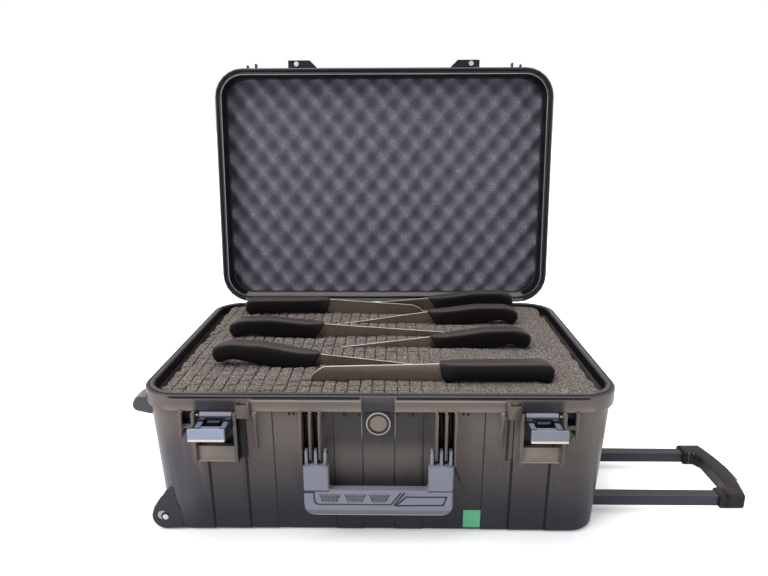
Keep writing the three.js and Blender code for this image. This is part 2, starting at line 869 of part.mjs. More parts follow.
// Vent disc with level bars
function valveVent() {
  const face = valveFront + valveVentRim;
  const disc = rod('y', valveVentRadius, face, valveFront + valveVentDepth - seatGap, 0, valveZ, 28);
  const half = valveBarWidth / 2;
  const bars = valveBars.map((rise) => {
    const reach = Math.sqrt(valveVentRadius ** 2 - rise ** 2) - valveBarWidth;
    return block(
      -reach, reach, valveFront + seatGap, face + seatGap, valveZ + rise - half, valveZ + rise + half);
  });
  return joined(disc, ...bars);
}

function labelPlate() {
  const geometry = new THREE.BoxGeometry(labelWidth, labelThickness, labelHeight);
  const mesh = part('label', geometry, labelGreen);
  const middle = labelBottom + labelHeight / 2;
  const face = panelSetbacks[middlePanels.length - 1] - bodyHalfY(middle);
  mesh.rotation.x = Math.atan(draftDepth / flangeBottom);
  mesh.position.set(labelX, face - labelThickness / 2 - seatGap, middle);
  return mesh;
}

function standFoot(sign) {
  const wall = -bodyHalfX(flangeBottom);
  const tip = -halfLength - footReach;
  const low = flangeBottom - footDrop;
  const high = flangeBottom + footRise;
  const root = wall + rimWidth;
  const outline = [
    [root, low], [wall - 6, low + 3.5], [tip + 3, low + 6], [tip, low + 10],
    [tip, high - 10.5], [tip + 3.5, high - 3.5], [tip + 8, high], [root, high],
  ];
  const middle = sign * (footSideInset - halfDepth);
  const foot = prism('y', outline, middle - footWidth / 2, middle + footWidth / 2, footBevel);
  const flange = loft([flangeBottom - seatGap, baseHeight].map((z) => ({
    z, points: rimOutline(-seatGap),
  })));
  return cut(foot, bodyForm(seatGap), flange);
}

// Wheels

const cheekFront = wheelFrontY - wheelGap - cheekThickness;
const cheekBack = wheelRearFace + wheelGap + cheekThickness;

// Side outline of a wheel housing: round about the wheel, then up to the body
function housingOutline() {
  const shape = new THREE.Shape();
  const r = cheekRadius;
  const topX = wheelCentreX + housingCrown;
  const topZ = wheelCentreZ + housingRise;
  const turn = 2.7;
  shape.moveTo(topX + 2 * housingCrown, wheelCentreZ - r + 2);
  shape.lineTo(topX + 2 * housingCrown, topZ);
  shape.lineTo(topX, topZ);
  shape.quadraticCurveTo(topX - 9, topZ - 2, topX - 15, topZ - 11);
  shape.lineTo(wheelCentreX + r * Math.cos(turn), wheelCentreZ + r * Math.sin(turn));
  shape.absarc(wheelCentreX, wheelCentreZ, r, turn, 1.5 * Math.PI, false);
  return shape;
}

function wheelHousing(sign) {
  const [y0, y1] = sign > 0 ? [cheekFront, cheekBack] : [-cheekBack, -cheekFront];
  const gap0 = y0 + cheekThickness;
  const gap1 = y1 - cheekThickness;
  const body = cut(
    prism('y', housingOutline(), y0, y1),
    rod('y', wheelRadius + wheelGap, gap0, gap1, wheelCentreX, wheelCentreZ, 28),
    block(-halfLength - wheelRadius, wheelCentreX + wheelRadius / 3, gap0, gap1, -fuse, wheelCentreZ),
    rod('y', axleRadius + pinGap, y0 - fuse, y1 + fuse, wheelCentreX, wheelCentreZ, 16));
  return body.subtract(bodyForm(seatGap).subtract(wellForm(-seatGap)(sign)));
}

function tyre(sign) {
  const half = wheelWidth / 2;
  const inner = hubRadius + seatGap;
  const profile = [
    [inner, -half], [wheelRadius - treadChamfer, -half], [wheelRadius, -half + treadChamfer],
    [wheelRadius, half - treadChamfer], [wheelRadius - treadChamfer, half], [inner, half],
  ];
  const closed = [...profile, profile[0]].map(([r, h]) => new THREE.Vector2(r, h));
  const geometry = new THREE.LatheGeometry(closed, 28);
  geometry.translate(wheelCentreX, sign * (wheelFrontY + half), wheelCentreZ);
  return solid(geometry);
}

function hub(sign) {
  const half = wheelWidth / 2;
  const middle = sign * (wheelFrontY + half);
  const bore = half + fuse;
  return cut(
    rod('y', hubRadius, middle - half, middle + half, wheelCentreX, wheelCentreZ, 20),
    rod('y', axleRadius + pinGap, middle - bore, middle + bore, wheelCentreX, wheelCentreZ, 16));
}

function axle(sign) {
  const headBack = cheekFront - seatGap;
  const shaft = rod('y', axleRadius, headBack - seatGap, cheekBack - seatGap, wheelCentreX, wheelCentreZ, 16);
  const head = rod(
    'y', axleHeadRadius, headBack - axleHeadHeight, headBack, wheelCentreX, wheelCentreZ, 20);
  const body = shaft.add(head);
  return sign > 0 ? body : body.mirror([0, 1, 0]);
}

// Lid, drawn closed and then turned open about the hinge axis

function lidForm() {
  return loft([
    { z: lidRim, points: rimOutline(lidSetback) },
    { z: lidTop - lidCrown - lidCrownInset * 0.4, points: rimOutline(lidSetback + lidLean) },
    { z: lidTop - lidCrown * 0.4, points: rimOutline(lidSetback + lidLean + lidCrownInset * 0.3) },
    { z: lidTop, points: rimOutline(lidSetback + lidLean + lidCrownInset) },
  ]);
}

// The hollow of the lid, made smaller by a margin
function lidRoom(margin, ceiling) {
  const ring = (z, more) => ({
    z, points: rimOutline(rimWidth + margin + more),
  });
  return loft([
    ring(lidRim - fuse, 0), ring(ceiling - 1.6 * lidCeilingFillet, 0.4 * lidCeilingFillet),
    ring(ceiling, lidCeilingFillet),
  ]);
}

function lidLug(sign) {
  const back = -halfDepth - seatGap;
  const reach = -halfDepth - lugReach;
  const outline = [
    [sign * lugInner, back], [sign * lugMiddle, back], [sign * lugMiddle, reach],
    [sign * (lugInner + lugSlope), reach],
  ];
  const ordered = sign > 0 ? outline : [...outline].reverse();
  return prism('z', ordered, lidRim + seatGap, lidRim + lugHeight);
}

function lidLugBlock(sign) {
  const [x0, x1] = span(sign, lugMiddle + seatGap, lugOuter);
  return block(x0, x1, -halfDepth - lugReach, wallBite - halfDepth, lidRim + seatGap, lidRim + lugHeight);
}

// Level ribs that stiffen the top of the lid
function lidRibs() {
  const half = halfLength - lidSetback - lidRibMargin;
  const root = lidTop - fuse;
  const crest = lidTop + lidRibHeight;
  return lidRibPlaces.map((y) => prism('x', [
    [y + lidRibWidth / 2, root], [y + lidRibWidth / 2 - lidRibHeight, crest],
    [y - lidRibWidth / 2 + lidRibHeight, crest], [y - lidRibWidth / 2, root],
  ], -half, half));
}

// Two upright prongs by each latch, for a padlock
function lidProngs(sign) {
  const foot = lidRim + seatGap + lugHeadHeight;
  return prongReaches.map((proud, index) => {
    const near = latchOuter + index * prongSpacing;
    const [x0, x1] = span(sign, near, near + prongThickness);
    return block(x0, x1, -halfDepth - proud, wallBite - halfDepth, foot, foot + prongHeight);
  });
}

function lidShell() {
  const band = loft([
    { z: lidRim, points: rimOutline(lidBandEdge) },
    { z: lidRim + lidBandEdge, points: rimOutline(0) },
    { z: lidBandTop - lidBandEdge, points: rimOutline(0) },
    { z: lidBandTop, points: rimOutline(lidBandEdge) },
  ]);
  let body = cut(
    joined(band, lidForm(), ...lidRibs()),
    lidRoom(0, lidTop - lidCeiling),
    rimRing(grooveInset, grooveWidth, lidRim - fuse, lidRim + grooveDepth));
  for (const { sign } of sides) {
    body = joined(body, lidLugBlock(sign), ...lidProngs(sign));
    body = body.subtract(rod(
      'z', lugShaftRadius + pinGap, lidRim - fuse, lidRim + lugShaftLength + seatGap,
      sign * lugScrewX, lugScrewY, 14));
  }
  for (const centre of hingeCentres) {
    body = body.add(hingeKnuckle(centre - knuckleLength / 2, true)).subtract(hingeBore(centre));
  }
  return body;
}

function lugScrew(sign) {
  const x = sign * lugScrewX;
  return joined(
    rod('z', lugScrewRadius, lidRim - lugHeadHeight, lidRim, x, lugScrewY, 18),
    rod('z', lugShaftRadius, lidRim - lugHeadHeight / 2, lidRim + lugShaftLength, x, lugScrewY, 14));
}

// Egg-crate foam: peaks and valleys in turn, one point on each
function lidFoam() {
  const ceiling = lidTop - lidCeiling - foamGap;
  const peak = ceiling - lidFoamThickness;
  const valley = peak + lidFoamValley;
  const columns = Math.round((2 * cavityTopX) / eggPitch);
  const rows = Math.round((2 * cavityTopY) / eggPitch);
  const place = (i, j) => [
    -cavityTopX + (2 * cavityTopX * i) / columns,
    -cavityTopY + (2 * cavityTopY * j) / rows,
  ];
  const positions = [];
  const low = (i, j) => [...place(i, j), (i + j) % 2 === 0 ? peak : valley];
  const high = (i, j) => [...place(i, j), ceiling];
  const quad = (a, b, c, d) => positions.push(...a, ...b, ...c, ...a, ...c, ...d);
  for (let i = 0; i < columns; i += 1) {
    for (let j = 0; j < rows; j += 1) {
      quad(low(i, j + 1), low(i + 1, j + 1), low(i + 1, j), low(i, j));
    }
  }
  const border = [];
  for (let i = 0; i < columns; i += 1) border.push([i, 0]);
  for (let j = 0; j < rows; j += 1) border.push([columns, j]);
  for (let i = columns; i > 0; i -= 1) border.push([i, rows]);
  for (let j = rows; j > 0; j -= 1) border.push([0, j]);
  border.forEach((from, index) => {
    const to = border[(index + 1) % border.length];
    quad(low(...from), low(...to), high(...to), high(...from));
  });
  const contour = border.map(([i, j]) => new THREE.Vector2(...place(i, j)));
  for (const face of THREE.ShapeUtils.triangulateShape(contour, [])) {
    for (const index of face) positions.push(...high(...border[index]));
  }
  const geometry = new THREE.BufferGeometry();
  geometry.setAttribute('position', new THREE.Float32BufferAttribute(positions, 3));
  return solid(geometry).intersect(lidRoom(foamGap, lidTop - lidCeiling));
}

function gasket() {
  const top = lidRim + grooveDepth - seatGap;
  return rimRing(grooveInset + seatGap, grooveWidth - 2 * seatGap, top - gasketHeight, top);
}

function lidGroup() {
  const closed = new THREE.Group();
  closed.position.set(0, -hingeY, -hingeZ);
  closed.add(
    part('lid_shell', lidShell(), shellPlastic),
    part('lid_foam', lidFoam(), eggFoam),
    part('lid_gasket', gasket(), rubber));
  for (const { tag, sign } of sides) {
    closed.add(part(`lid_lug_${tag}`, lidLug(sign), greyPlastic));
    closed.add(part(`lug_screw_${tag}`, lugScrew(sign), steel));
  }
  const turned = new THREE.Group();
  turned.position.set(0, hingeY, hingeZ);
  turned.rotation.x = lidTurn;
  turned.add(closed);
  return turned;
}

// Latches, drawn about their own axis as they stand open, pointing forward

const latchHalf = latchWidth / 2;
const triggerPinReach = latchHalf - triggerPinInset;

function latchBody() {
  const tip = toothLength + triggerGap - latchLength;
  const cheek = (x0) => prism('x', [
    [tip, -latchShoulder], [-latchBarrel, -latchShoulder], [0, 2], [2, -3], [0, -latchDeep],
    [tip, -latchDeep],
  ], x0, x0 + latchCheek);
  const ridge = latchRidgeWidth / 2;
  return cut(
    joined(
      rod('x', latchBarrel, -latchHalf, latchHalf, 0, 0, 16),
      cheek(-latchHalf), cheek(latchHalf - latchCheek),
      block(-latchHalf, latchHalf, triggerTongue * 1.5 - triggerReach, 0, -latchDeep,
        latchSkin - latchDeep),
      block(-ridge, ridge, -latchRidgeLength - 2, -2, -latchDeep, -3)),
    rod('x', latchPinRadius + pinGap, -latchHalf - fuse, latchHalf + fuse, 0, 0, 12),
    rod('x', triggerPinRadius + pinGap, -triggerPinReach, triggerPinReach, -triggerReach,
      -triggerDrop, 12));
}

// Tip plate with the tooth that hooks over the lid, and the tongue that its pin goes through
function latchTrigger() {
  const inner = latchHalf - latchCheek - runningGap;
  const tip = block(
    -latchHalf, latchHalf, -latchLength, toothLength - latchLength, -latchDeep, toothRise);
  const tongue = block(
    -inner, inner, fuse - latchLength, triggerTongue - triggerReach, -latchDeep,
    triggerTongueRise - triggerDrop);
  return tip.add(tongue).subtract(rod(
    'x', triggerPinRadius + pinGap, -latchHalf, latchHalf, -triggerReach, -triggerDrop, 12));
}

function triggerPin() {
  const reach = triggerPinReach - seatGap;
  return rod('x', triggerPinRadius, -reach, reach, -triggerReach, -triggerDrop, 10);
}

function latchGroup({ tag, sign }) {
  const group = new THREE.Group();
  group.position.set(sign * latchCentre, latchAxisY, latchAxisZ);
  group.add(
    part(`latch_body_${tag}`, latchBody(), darkPlastic),
    part(`latch_trigger_${tag}`, latchTrigger(), greyPlastic),
    part(`trigger_pin_${tag}`, triggerPin(), steel));
  return group;
}

function latchPin({ tag, sign }) {
  const [x0, x1] = span(sign, latchInner - latchRibThickness, latchOuter + latchRibThickness);
  return part(`latch_pin_${tag}`, rod('x', latchPinRadius, x0, x1, latchAxisY, latchAxisZ, 12), steel);
}

// Carry handle, hanging down from its pins

function handleOutline() {
  const shape = new THREE.Shape();
  const x = handleOuterX;
  const r = handleCorner;
  const inner = x - handleArm;
  const fillet = handleFillet;
  shape.moveTo(-x + r, handleBottom);
  shape.lineTo(x - r, handleBottom);
  shape.quadraticCurveTo(x, handleBottom, x, handleBottom + r);
  shape.lineTo(x, handleProngBase);
  shape.lineTo(inner, handleProngBase);
  shape.lineTo(inner, handleBarTop + fillet);
  shape.lineTo(inner - fillet, handleBarTop);
  shape.lineTo(-inner + fillet, handleBarTop);
  shape.lineTo(-inner, handleBarTop + fillet);
  shape.lineTo(-inner, handleProngBase);
  shape.lineTo(-x, handleProngBase);
  shape.lineTo(-x, handleBottom + r);
  shape.quadraticCurveTo(-x, handleBottom, -x + r, handleBottom);
  return shape;
}

// Side outline of a prong: from the arm up and round the pin
function prongOutline() {
  const root = handleProngBase - handleProngThickness;
  const r = handleProngRadius;
  const points = [[handleFront + handleThickness - 3, root]];
  for (let i = 0; i <= 6; i += 1) {
    const angle = (Math.PI * i) / 6;
    points.push([handleAxisY + r * Math.cos(angle), handleAxisZ + r * Math.sin(angle)]);
  }
  points.push([handleFront + 3, root]);
  return points;
}

function handleFrame() {
  const spacing = handleRibs[1] - handleRibs[0];
  const half = handleProngThickness / 2;
  const prongs = sides.flatMap(({ sign }) => handleRibs.map((rib) => {
    const middle = sign * (rib - spacing / 2);
    return prism('x', prongOutline(), middle - half, middle + half);
  }));
  const reach = handlePinReach(fuse);
  return cut(
    joined(
      prism('y', handleOutline(), handleFront, handleFront + handleThickness, handleBevel), ...prongs),
    rod('x', handlePinRadius + pinGap, -reach, reach, handleAxisY, handleAxisZ, 12),
    prism('y', padOutline(0), handleFront - fuse, handleFront + padDepth));
}

// Outline of the soft pad on the front of the bar, with a slanted end
function padOutline(margin) {
  const left = padSideInset - handleOuterX + margin;
  const low = handleBottom + padLowInset + margin;
  const high = handleBarTop - padHighInset - margin;
  return [[left, low], [padLowEnd - margin, low], [padHighEnd - margin, high], [left, high]];
}

function handlePad() {
  return prism('y', padOutline(seatGap), handleFront - padProud, handleFront + padDepth - seatGap);
}

function handlePin({ tag, sign }) {
  const spacing = handleRibs[1] - handleRibs[0];
  const near = handleRibs[0] - spacing / 2 - handleProngThickness / 2 - handlePinOverhang;
  const [x0, x1] = span(sign, near, handlePinReach(0));
  return part(`handle_pin_${tag}`, rod('x', handlePinRadius, x0, x1, handleAxisY, handleAxisZ, 12), steel);
}

// Pull-out handle

const gripFrontY = tubeFrontY - gripFrontMargin;
const gripRearY = tubeFrontY + tubeSpacing + gripRearMargin;
const gripMiddleY = (gripFrontY + gripRearY) / 2;
const buttonFaceX = gripEndX + gripBulge;

function gripOutline() {
  const shape = new THREE.Shape();
  const corner = gripCorner;
  const barX = gripInnerX + gripBarInset;
  const rearSleeve = gripRearY - gripSleeve - gripRearShoulder;
  const frontSleeve = gripFrontY + gripSleeve;
  shape.moveTo(gripInnerX, gripFrontY);
  shape.lineTo(gripEndX - corner, gripFrontY);
  shape.lineTo(gripEndX, gripFrontY + corner);
  for (let i = 1; i < gripBulgeSteps; i += 1) {
    const t = i / gripBulgeSteps;
    const y = gripFrontY + corner + t * (gripRearY - gripFrontY - 2 * corner);
    shape.lineTo(gripEndX + gripBulge * Math.sin(Math.PI * t), y);
  }
  shape.lineTo(gripEndX, gripRearY - corner);
  shape.lineTo(gripEndX - corner, gripRearY);
  shape.lineTo(gripInnerX, gripRearY);
  shape.lineTo(gripInnerX, rearSleeve);
  shape.lineTo(barX - gripBarFillet, rearSleeve);
  shape.lineTo(barX, rearSleeve - gripShoulder);
  shape.lineTo(barX, frontSleeve + gripShoulder);
  shape.lineTo(barX - gripBarFillet, frontSleeve);
  shape.lineTo(gripInnerX, frontSleeve);
  return shape;
}

function gripBody() {
  const half = tubeSize / 2 + seatGap;
  const sockets = Object.values(tubeCentres).map((y) => block(
    gripInnerX - fuse, gripInnerX + socketDepth, y - half, y + half, tubeHeight - half,
    tubeHeight + half));
  return cut(
    prism('z', gripOutline(), tubeHeight - gripHeight / 2, tubeHeight + gripHeight / 2, gripBevel),
    ...sockets, buttonForm(runningGap, buttonTravel, gripHeight));
}

// Release button on the outside of the grip, as a block with a margin and room for its travel
function buttonForm(margin, travel, proud) {
  const half = buttonLength / 2 + margin;
  const high = buttonHeight / 2 + margin;
  return block(
    buttonFaceX - buttonStem - margin - travel, buttonFaceX + proud,
    gripMiddleY - half, gripMiddleY + half, tubeHeight - high, tubeHeight + high);
}

function tube(y) {
  const half = tubeSize / 2;
  const bore = half - tubeWall;
  const end = gripInnerX + socketDepth - seatGap;
  const start = end - tubeLength;
  return cut(
    block(start, end, y - half, y + half, tubeHeight - half, tubeHeight + half),
    block(start - fuse, end + fuse, y - bore, y + bore, tubeHeight - bore, tubeHeight + bore));
}

// Sliding guide that leads a tube through the end of the channel
function guide(y) {
  const half = guideWidth / 2;
  const hole = tubeSize / 2 + seatGap;
  const end = channelRight - seatGap;
  const start = end - guideLength;
  return cut(
    block(start, end, y - half, y + half, coverThickness + 2 * seatGap, channelTop - seatGap),
    block(start - fuse, end + fuse, y - hole, y + hole, tubeHeight - hole, tubeHeight + hole));
}

// Knives, each drawn about its bolster with the blade along +X and the spine at z 0

function knifeHandle(curved) {
  const back = -handleLength;
  const low = -handleTall;
  const straightLine = [
    [0, -0.5], [back + 10, 1], [back + 2, -3], [back, -10], [back + 1, low], [back + 10, low - 0.5],
    [back + 22, low + 3], [-22, low + 3], [-12, low], [-4, low], [0, low + 6],
  ];
  const curvedLine = [
    [0, -1], [-26, 1.5], [-34, 2], [-74, 7], [back + 22, 6.5], [back + 6, 2], [back, -6],
    [back + 3, low + 4], [back + 12, low + 2], [back + 34, low + 5], [-64, low + 2],
    [-30, low - 1], [-8, low - 2], [0, low + 2],
  ];
  const outline = (curved ? curvedLine : straightLine).reverse();
  return prism('y', outline, -handleThick / 2, handleThick / 2, handleEdge);
}

function knifeBlade({ length, tall, fall, curved }) {
  const turn = curved ? 0.8 : 0.86;
  const tipDepth = curved ? fall + 0.25 * (tall - fall) : 0.8 * tall;
  const bellyX = (1 + turn) * 0.5 * length;
  const outline = [
    [seatGap, -bladeRoot], [seatGap, -0.62 * tall], [bedMargin + bladeRoot, -tall],
    [0.6 * length, -tall], [0.87 * length, -0.93 * tall], [length, -tipDepth],
    [bellyX, -fall - 0.3 * (tipDepth - fall)], [turn * length, -fall],
  ];
  return prism('y', outline, -bladeThickness / 2, bladeThickness / 2);
}

function knifeGroup(knife, index) {
  const group = new THREE.Group();
  group.position.set(knife.x, knife.y, spineZ(knife));
  group.rotation.set(0, knifeTilt(knife), knifeWay(knife) > 0 ? 0 : Math.PI, 'ZYX');
  group.add(
    part(`knife_${index + 1}_blade`, knifeBlade(knife), bladeSteel),
    part(`knife_${index + 1}_handle`, knifeHandle(knife.curved), handlePlastic));
  return group;
}

// The whole case

function hingePin(tag, centre) {
  const reach = 1.5 * knuckleLength + knuckleGap;
  const pin = rod('x', hingePinRadius, centre - reach, centre + reach, hingeY, hingeZ, 14);
  return part(`hinge_pin_${tag}`, pin, steel);
}

function knifeCase() {
  const group = new THREE.Group();
  group.add(
    part('base_shell', baseShell(), shellPlastic),
    part('bottom_cover', bottomCover(), darkPlastic),
    part('base_foam_lower', baseFoam(0, foamSplit), pluckFoam),
    part('base_foam_upper', baseFoam(foamSplit + seatGap, baseHeight), pluckFoam),
    part('valve_body', valveBody(), shellPlastic),
    part('valve_vent', valveVent(), shellPlastic),
    labelPlate());
  sides.forEach((side, index) => {
    const pin = hingePin(side.tag, hingeCentres[index]);
    group.add(latchGroup(side), latchPin(side), handlePin(side), pin);
  });
  for (const { tag, sign } of ends) {
    group.add(
      part(`wheel_housing_${tag}`, wheelHousing(sign), darkPlastic),
      part(`wheel_tyre_${tag}`, tyre(sign), rubber),
      part(`wheel_hub_${tag}`, hub(sign), darkPlastic),
      part(`wheel_axle_${tag}`, axle(sign), steel),
      part(`stand_foot_${tag}`, standFoot(sign), rubber),
      part(`trolley_tube_${tag}`, tube(tubeCentres[tag]), tubePaint),
      part(`trolley_guide_${tag}`, guide(tubeCentres[tag]), darkPlastic));
  }
  group.add(
    part('carry_handle', handleFrame(), greyPlastic),
    part('handle_pad', handlePad(), greyPlastic),
    part('trolley_grip', gripBody(), darkPlastic),
    part('trolley_button', buttonForm(0, 0, buttonProud), greyPlastic),
    lidGroup());
  knifeRows.forEach((knife, index) => group.add(knifeGroup(knife, index)));
  return group;
}

export default knifeCase();
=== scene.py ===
"""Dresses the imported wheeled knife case: finishes, foams, knives and fine detail.

Shapes are worked out in millimetres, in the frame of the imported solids, and are
stored in metres. Every piece stands at the origin with its place in its mesh.
"""

import json
import logging
import math
import random
from dataclasses import dataclass, field
from enum import Enum
from typing import Callable, Iterable, Sequence

import bmesh
import bpy
import numpy as np
from mathutils import Matrix, Vector

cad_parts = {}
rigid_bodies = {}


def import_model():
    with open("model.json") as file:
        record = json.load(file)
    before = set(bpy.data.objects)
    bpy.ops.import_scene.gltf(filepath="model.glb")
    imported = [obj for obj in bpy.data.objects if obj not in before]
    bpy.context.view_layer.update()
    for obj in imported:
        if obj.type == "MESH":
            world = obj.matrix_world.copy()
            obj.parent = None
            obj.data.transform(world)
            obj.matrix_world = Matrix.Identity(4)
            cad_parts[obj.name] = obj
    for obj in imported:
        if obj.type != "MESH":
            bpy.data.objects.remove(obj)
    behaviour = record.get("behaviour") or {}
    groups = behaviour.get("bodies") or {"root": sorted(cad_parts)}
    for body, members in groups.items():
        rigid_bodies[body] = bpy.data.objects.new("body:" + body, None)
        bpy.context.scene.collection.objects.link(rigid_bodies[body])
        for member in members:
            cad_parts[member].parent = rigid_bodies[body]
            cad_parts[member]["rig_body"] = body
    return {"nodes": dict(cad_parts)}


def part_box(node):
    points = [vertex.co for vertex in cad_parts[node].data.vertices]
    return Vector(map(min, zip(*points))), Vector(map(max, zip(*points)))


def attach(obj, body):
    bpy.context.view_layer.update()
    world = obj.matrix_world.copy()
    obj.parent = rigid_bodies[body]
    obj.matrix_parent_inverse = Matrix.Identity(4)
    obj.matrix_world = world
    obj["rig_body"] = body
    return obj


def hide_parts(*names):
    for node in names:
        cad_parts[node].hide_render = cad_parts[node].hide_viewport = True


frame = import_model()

LOG = logging.getLogger("knife_case")
MM = 0.001

Colour = tuple[float, float, float, float]
Point = tuple[float, float, float]
Outline = list[tuple[float, float]]


def srgb(red: float, green: float, blue: float) -> Colour:
    """Turns a colour of 0 to 255 a channel into the linear colour that shaders use.

    Args:
        red: Red, 0 to 255.
        green: Green, 0 to 255.
        blue: Blue, 0 to 255.

    Returns:
        The linear colour with an alpha of 1.
    """
    def linear(value: float) -> float:
        """Linear light of one channel."""
        share = value / 255
        return share / 12.92 if share <= 0.04045 else ((share + 0.055) / 1.055) ** 2.4

    return linear(red), linear(green), linear(blue), 1.0


def ease(value: float, start: float, end: float) -> float:
    """Rises smoothly from 0 at start to 1 at end.

    Args:
        value: The place between the two.
        start: Where it begins to rise.
        end: Where it is full.

    Returns:
        A number from 0 to 1.
    """
    share = min(1.0, max(0.0, (value - start) / (end - start)))
    return share * share * (3 - 2 * share)


# Shaders


class Signal:
    """A changing value in a node tree: arithmetic on it adds Math nodes."""

    def __init__(self, nodes: "Nodes", socket: bpy.types.NodeSocket) -> None:
        """Wraps an output socket of the tree."""
        self.nodes = nodes
        self.socket = socket

    def math(self, operation: str, *others: "Signal | float") -> "Signal":
        """Adds a Math node.

        Args:
            operation: The node's operation.
            others: Its inputs after this value, in order.

        Returns:
            The node's result.
        """
        sockets = dict(enumerate((self, *others)))
        return self.nodes.signal("ShaderNodeMath", {"operation": operation}, sockets)

    def __add__(self, other: "Signal | float") -> "Signal":
        """Sum."""
        return self.math("ADD", other)

    def __radd__(self, other: float) -> "Signal":
        """Sum with a number in front."""
        return self.math("ADD", other)

    def __sub__(self, other: "Signal | float") -> "Signal":
        """Difference."""
        return self.math("SUBTRACT", other)

    def __rsub__(self, other: float) -> "Signal":
        """Difference from a number."""
        return self.math("MULTIPLY_ADD", -1.0, other)

    def __mul__(self, other: "Signal | float") -> "Signal":
        """Product."""
        return self.math("MULTIPLY", other)

    def __rmul__(self, other: float) -> "Signal":
        """Product with a number in front."""
        return self.math("MULTIPLY", other)

    def __rtruediv__(self, other: float) -> "Signal":
        """A number divided by the value."""
        settings, sockets = {"operation": "DIVIDE"}, {0: other, 1: self}
        return self.nodes.signal("ShaderNodeMath", settings, sockets)

    def ramp(self, start: float, end: float) -> "Signal":
        """Rises smoothly from 0 at start to 1 at end.

        Args:
            start: The value at which it begins to rise.
            end: The value at which it is full.

        Returns:
            The share, from 0 to 1.
        """
        settings = {"interpolation_type": "SMOOTHSTEP"}
        sockets = {"Value": self, "From Min": start, "From Max": end}
        return self.nodes.signal("ShaderNodeMapRange", settings, sockets, "Result")


class Nodes:
    """Adds nodes of any type to a tree."""

    def __init__(self, tree: bpy.types.NodeTree) -> None:
        """Takes the tree to fill."""
        self.tree = tree

    def add(
        self, kind: str, settings: dict | None = None, sockets: dict | None = None
    ) -> bpy.types.Node:
        """Adds a node.

        Args:
            kind: The node's type.
            settings: Properties of the node, set before its sockets.
            sockets: Values or links of its inputs, by name or number.

        Returns:
            The node.
        """
        node = self.tree.nodes.new(kind)
        for key, value in (settings or {}).items():
            setattr(node, key, value)
        self.fill(node, sockets or {})
        return node

    def fill(self, node: bpy.types.Node, sockets: dict) -> None:
        """Sets or links a node's inputs, by name or number.

        Args:
            node: The node.
            sockets: Values or links by name or number.
        """
        for key, value in sockets.items():
            source = value.socket if isinstance(value, Signal) else value
            if isinstance(source, bpy.types.NodeSocket):
                self.tree.links.new(source, node.inputs[key])
            else:
                node.inputs[key].default_value = source

    def signal(
        self, kind: str, settings: dict | None = None, sockets: dict | None = None,
        output: int | str = 0,
    ) -> Signal:
        """Adds a node and gives one of its outputs as a signal.

        Args:
            kind: The node's type.
            settings: Properties of the node.
            sockets: Values or links of its inputs.
            output: The output's name or number.

        Returns:
            The output.
        """
        return Signal(self, self.add(kind, settings, sockets).outputs[output])

    def background_ray(self) -> Signal:
        """1 on rays that show the background: seen, mirrored or through something clear.

        Returns:
            The share, 0 or 1.
        """
        paths = self.add("ShaderNodeLightPath").outputs
        seen = Signal(self, paths["Is Camera Ray"])
        for kind in ("Is Glossy Ray", "Is Transmission Ray"):
            seen = seen.math("MAXIMUM", Signal(self, paths[kind]))
        return seen


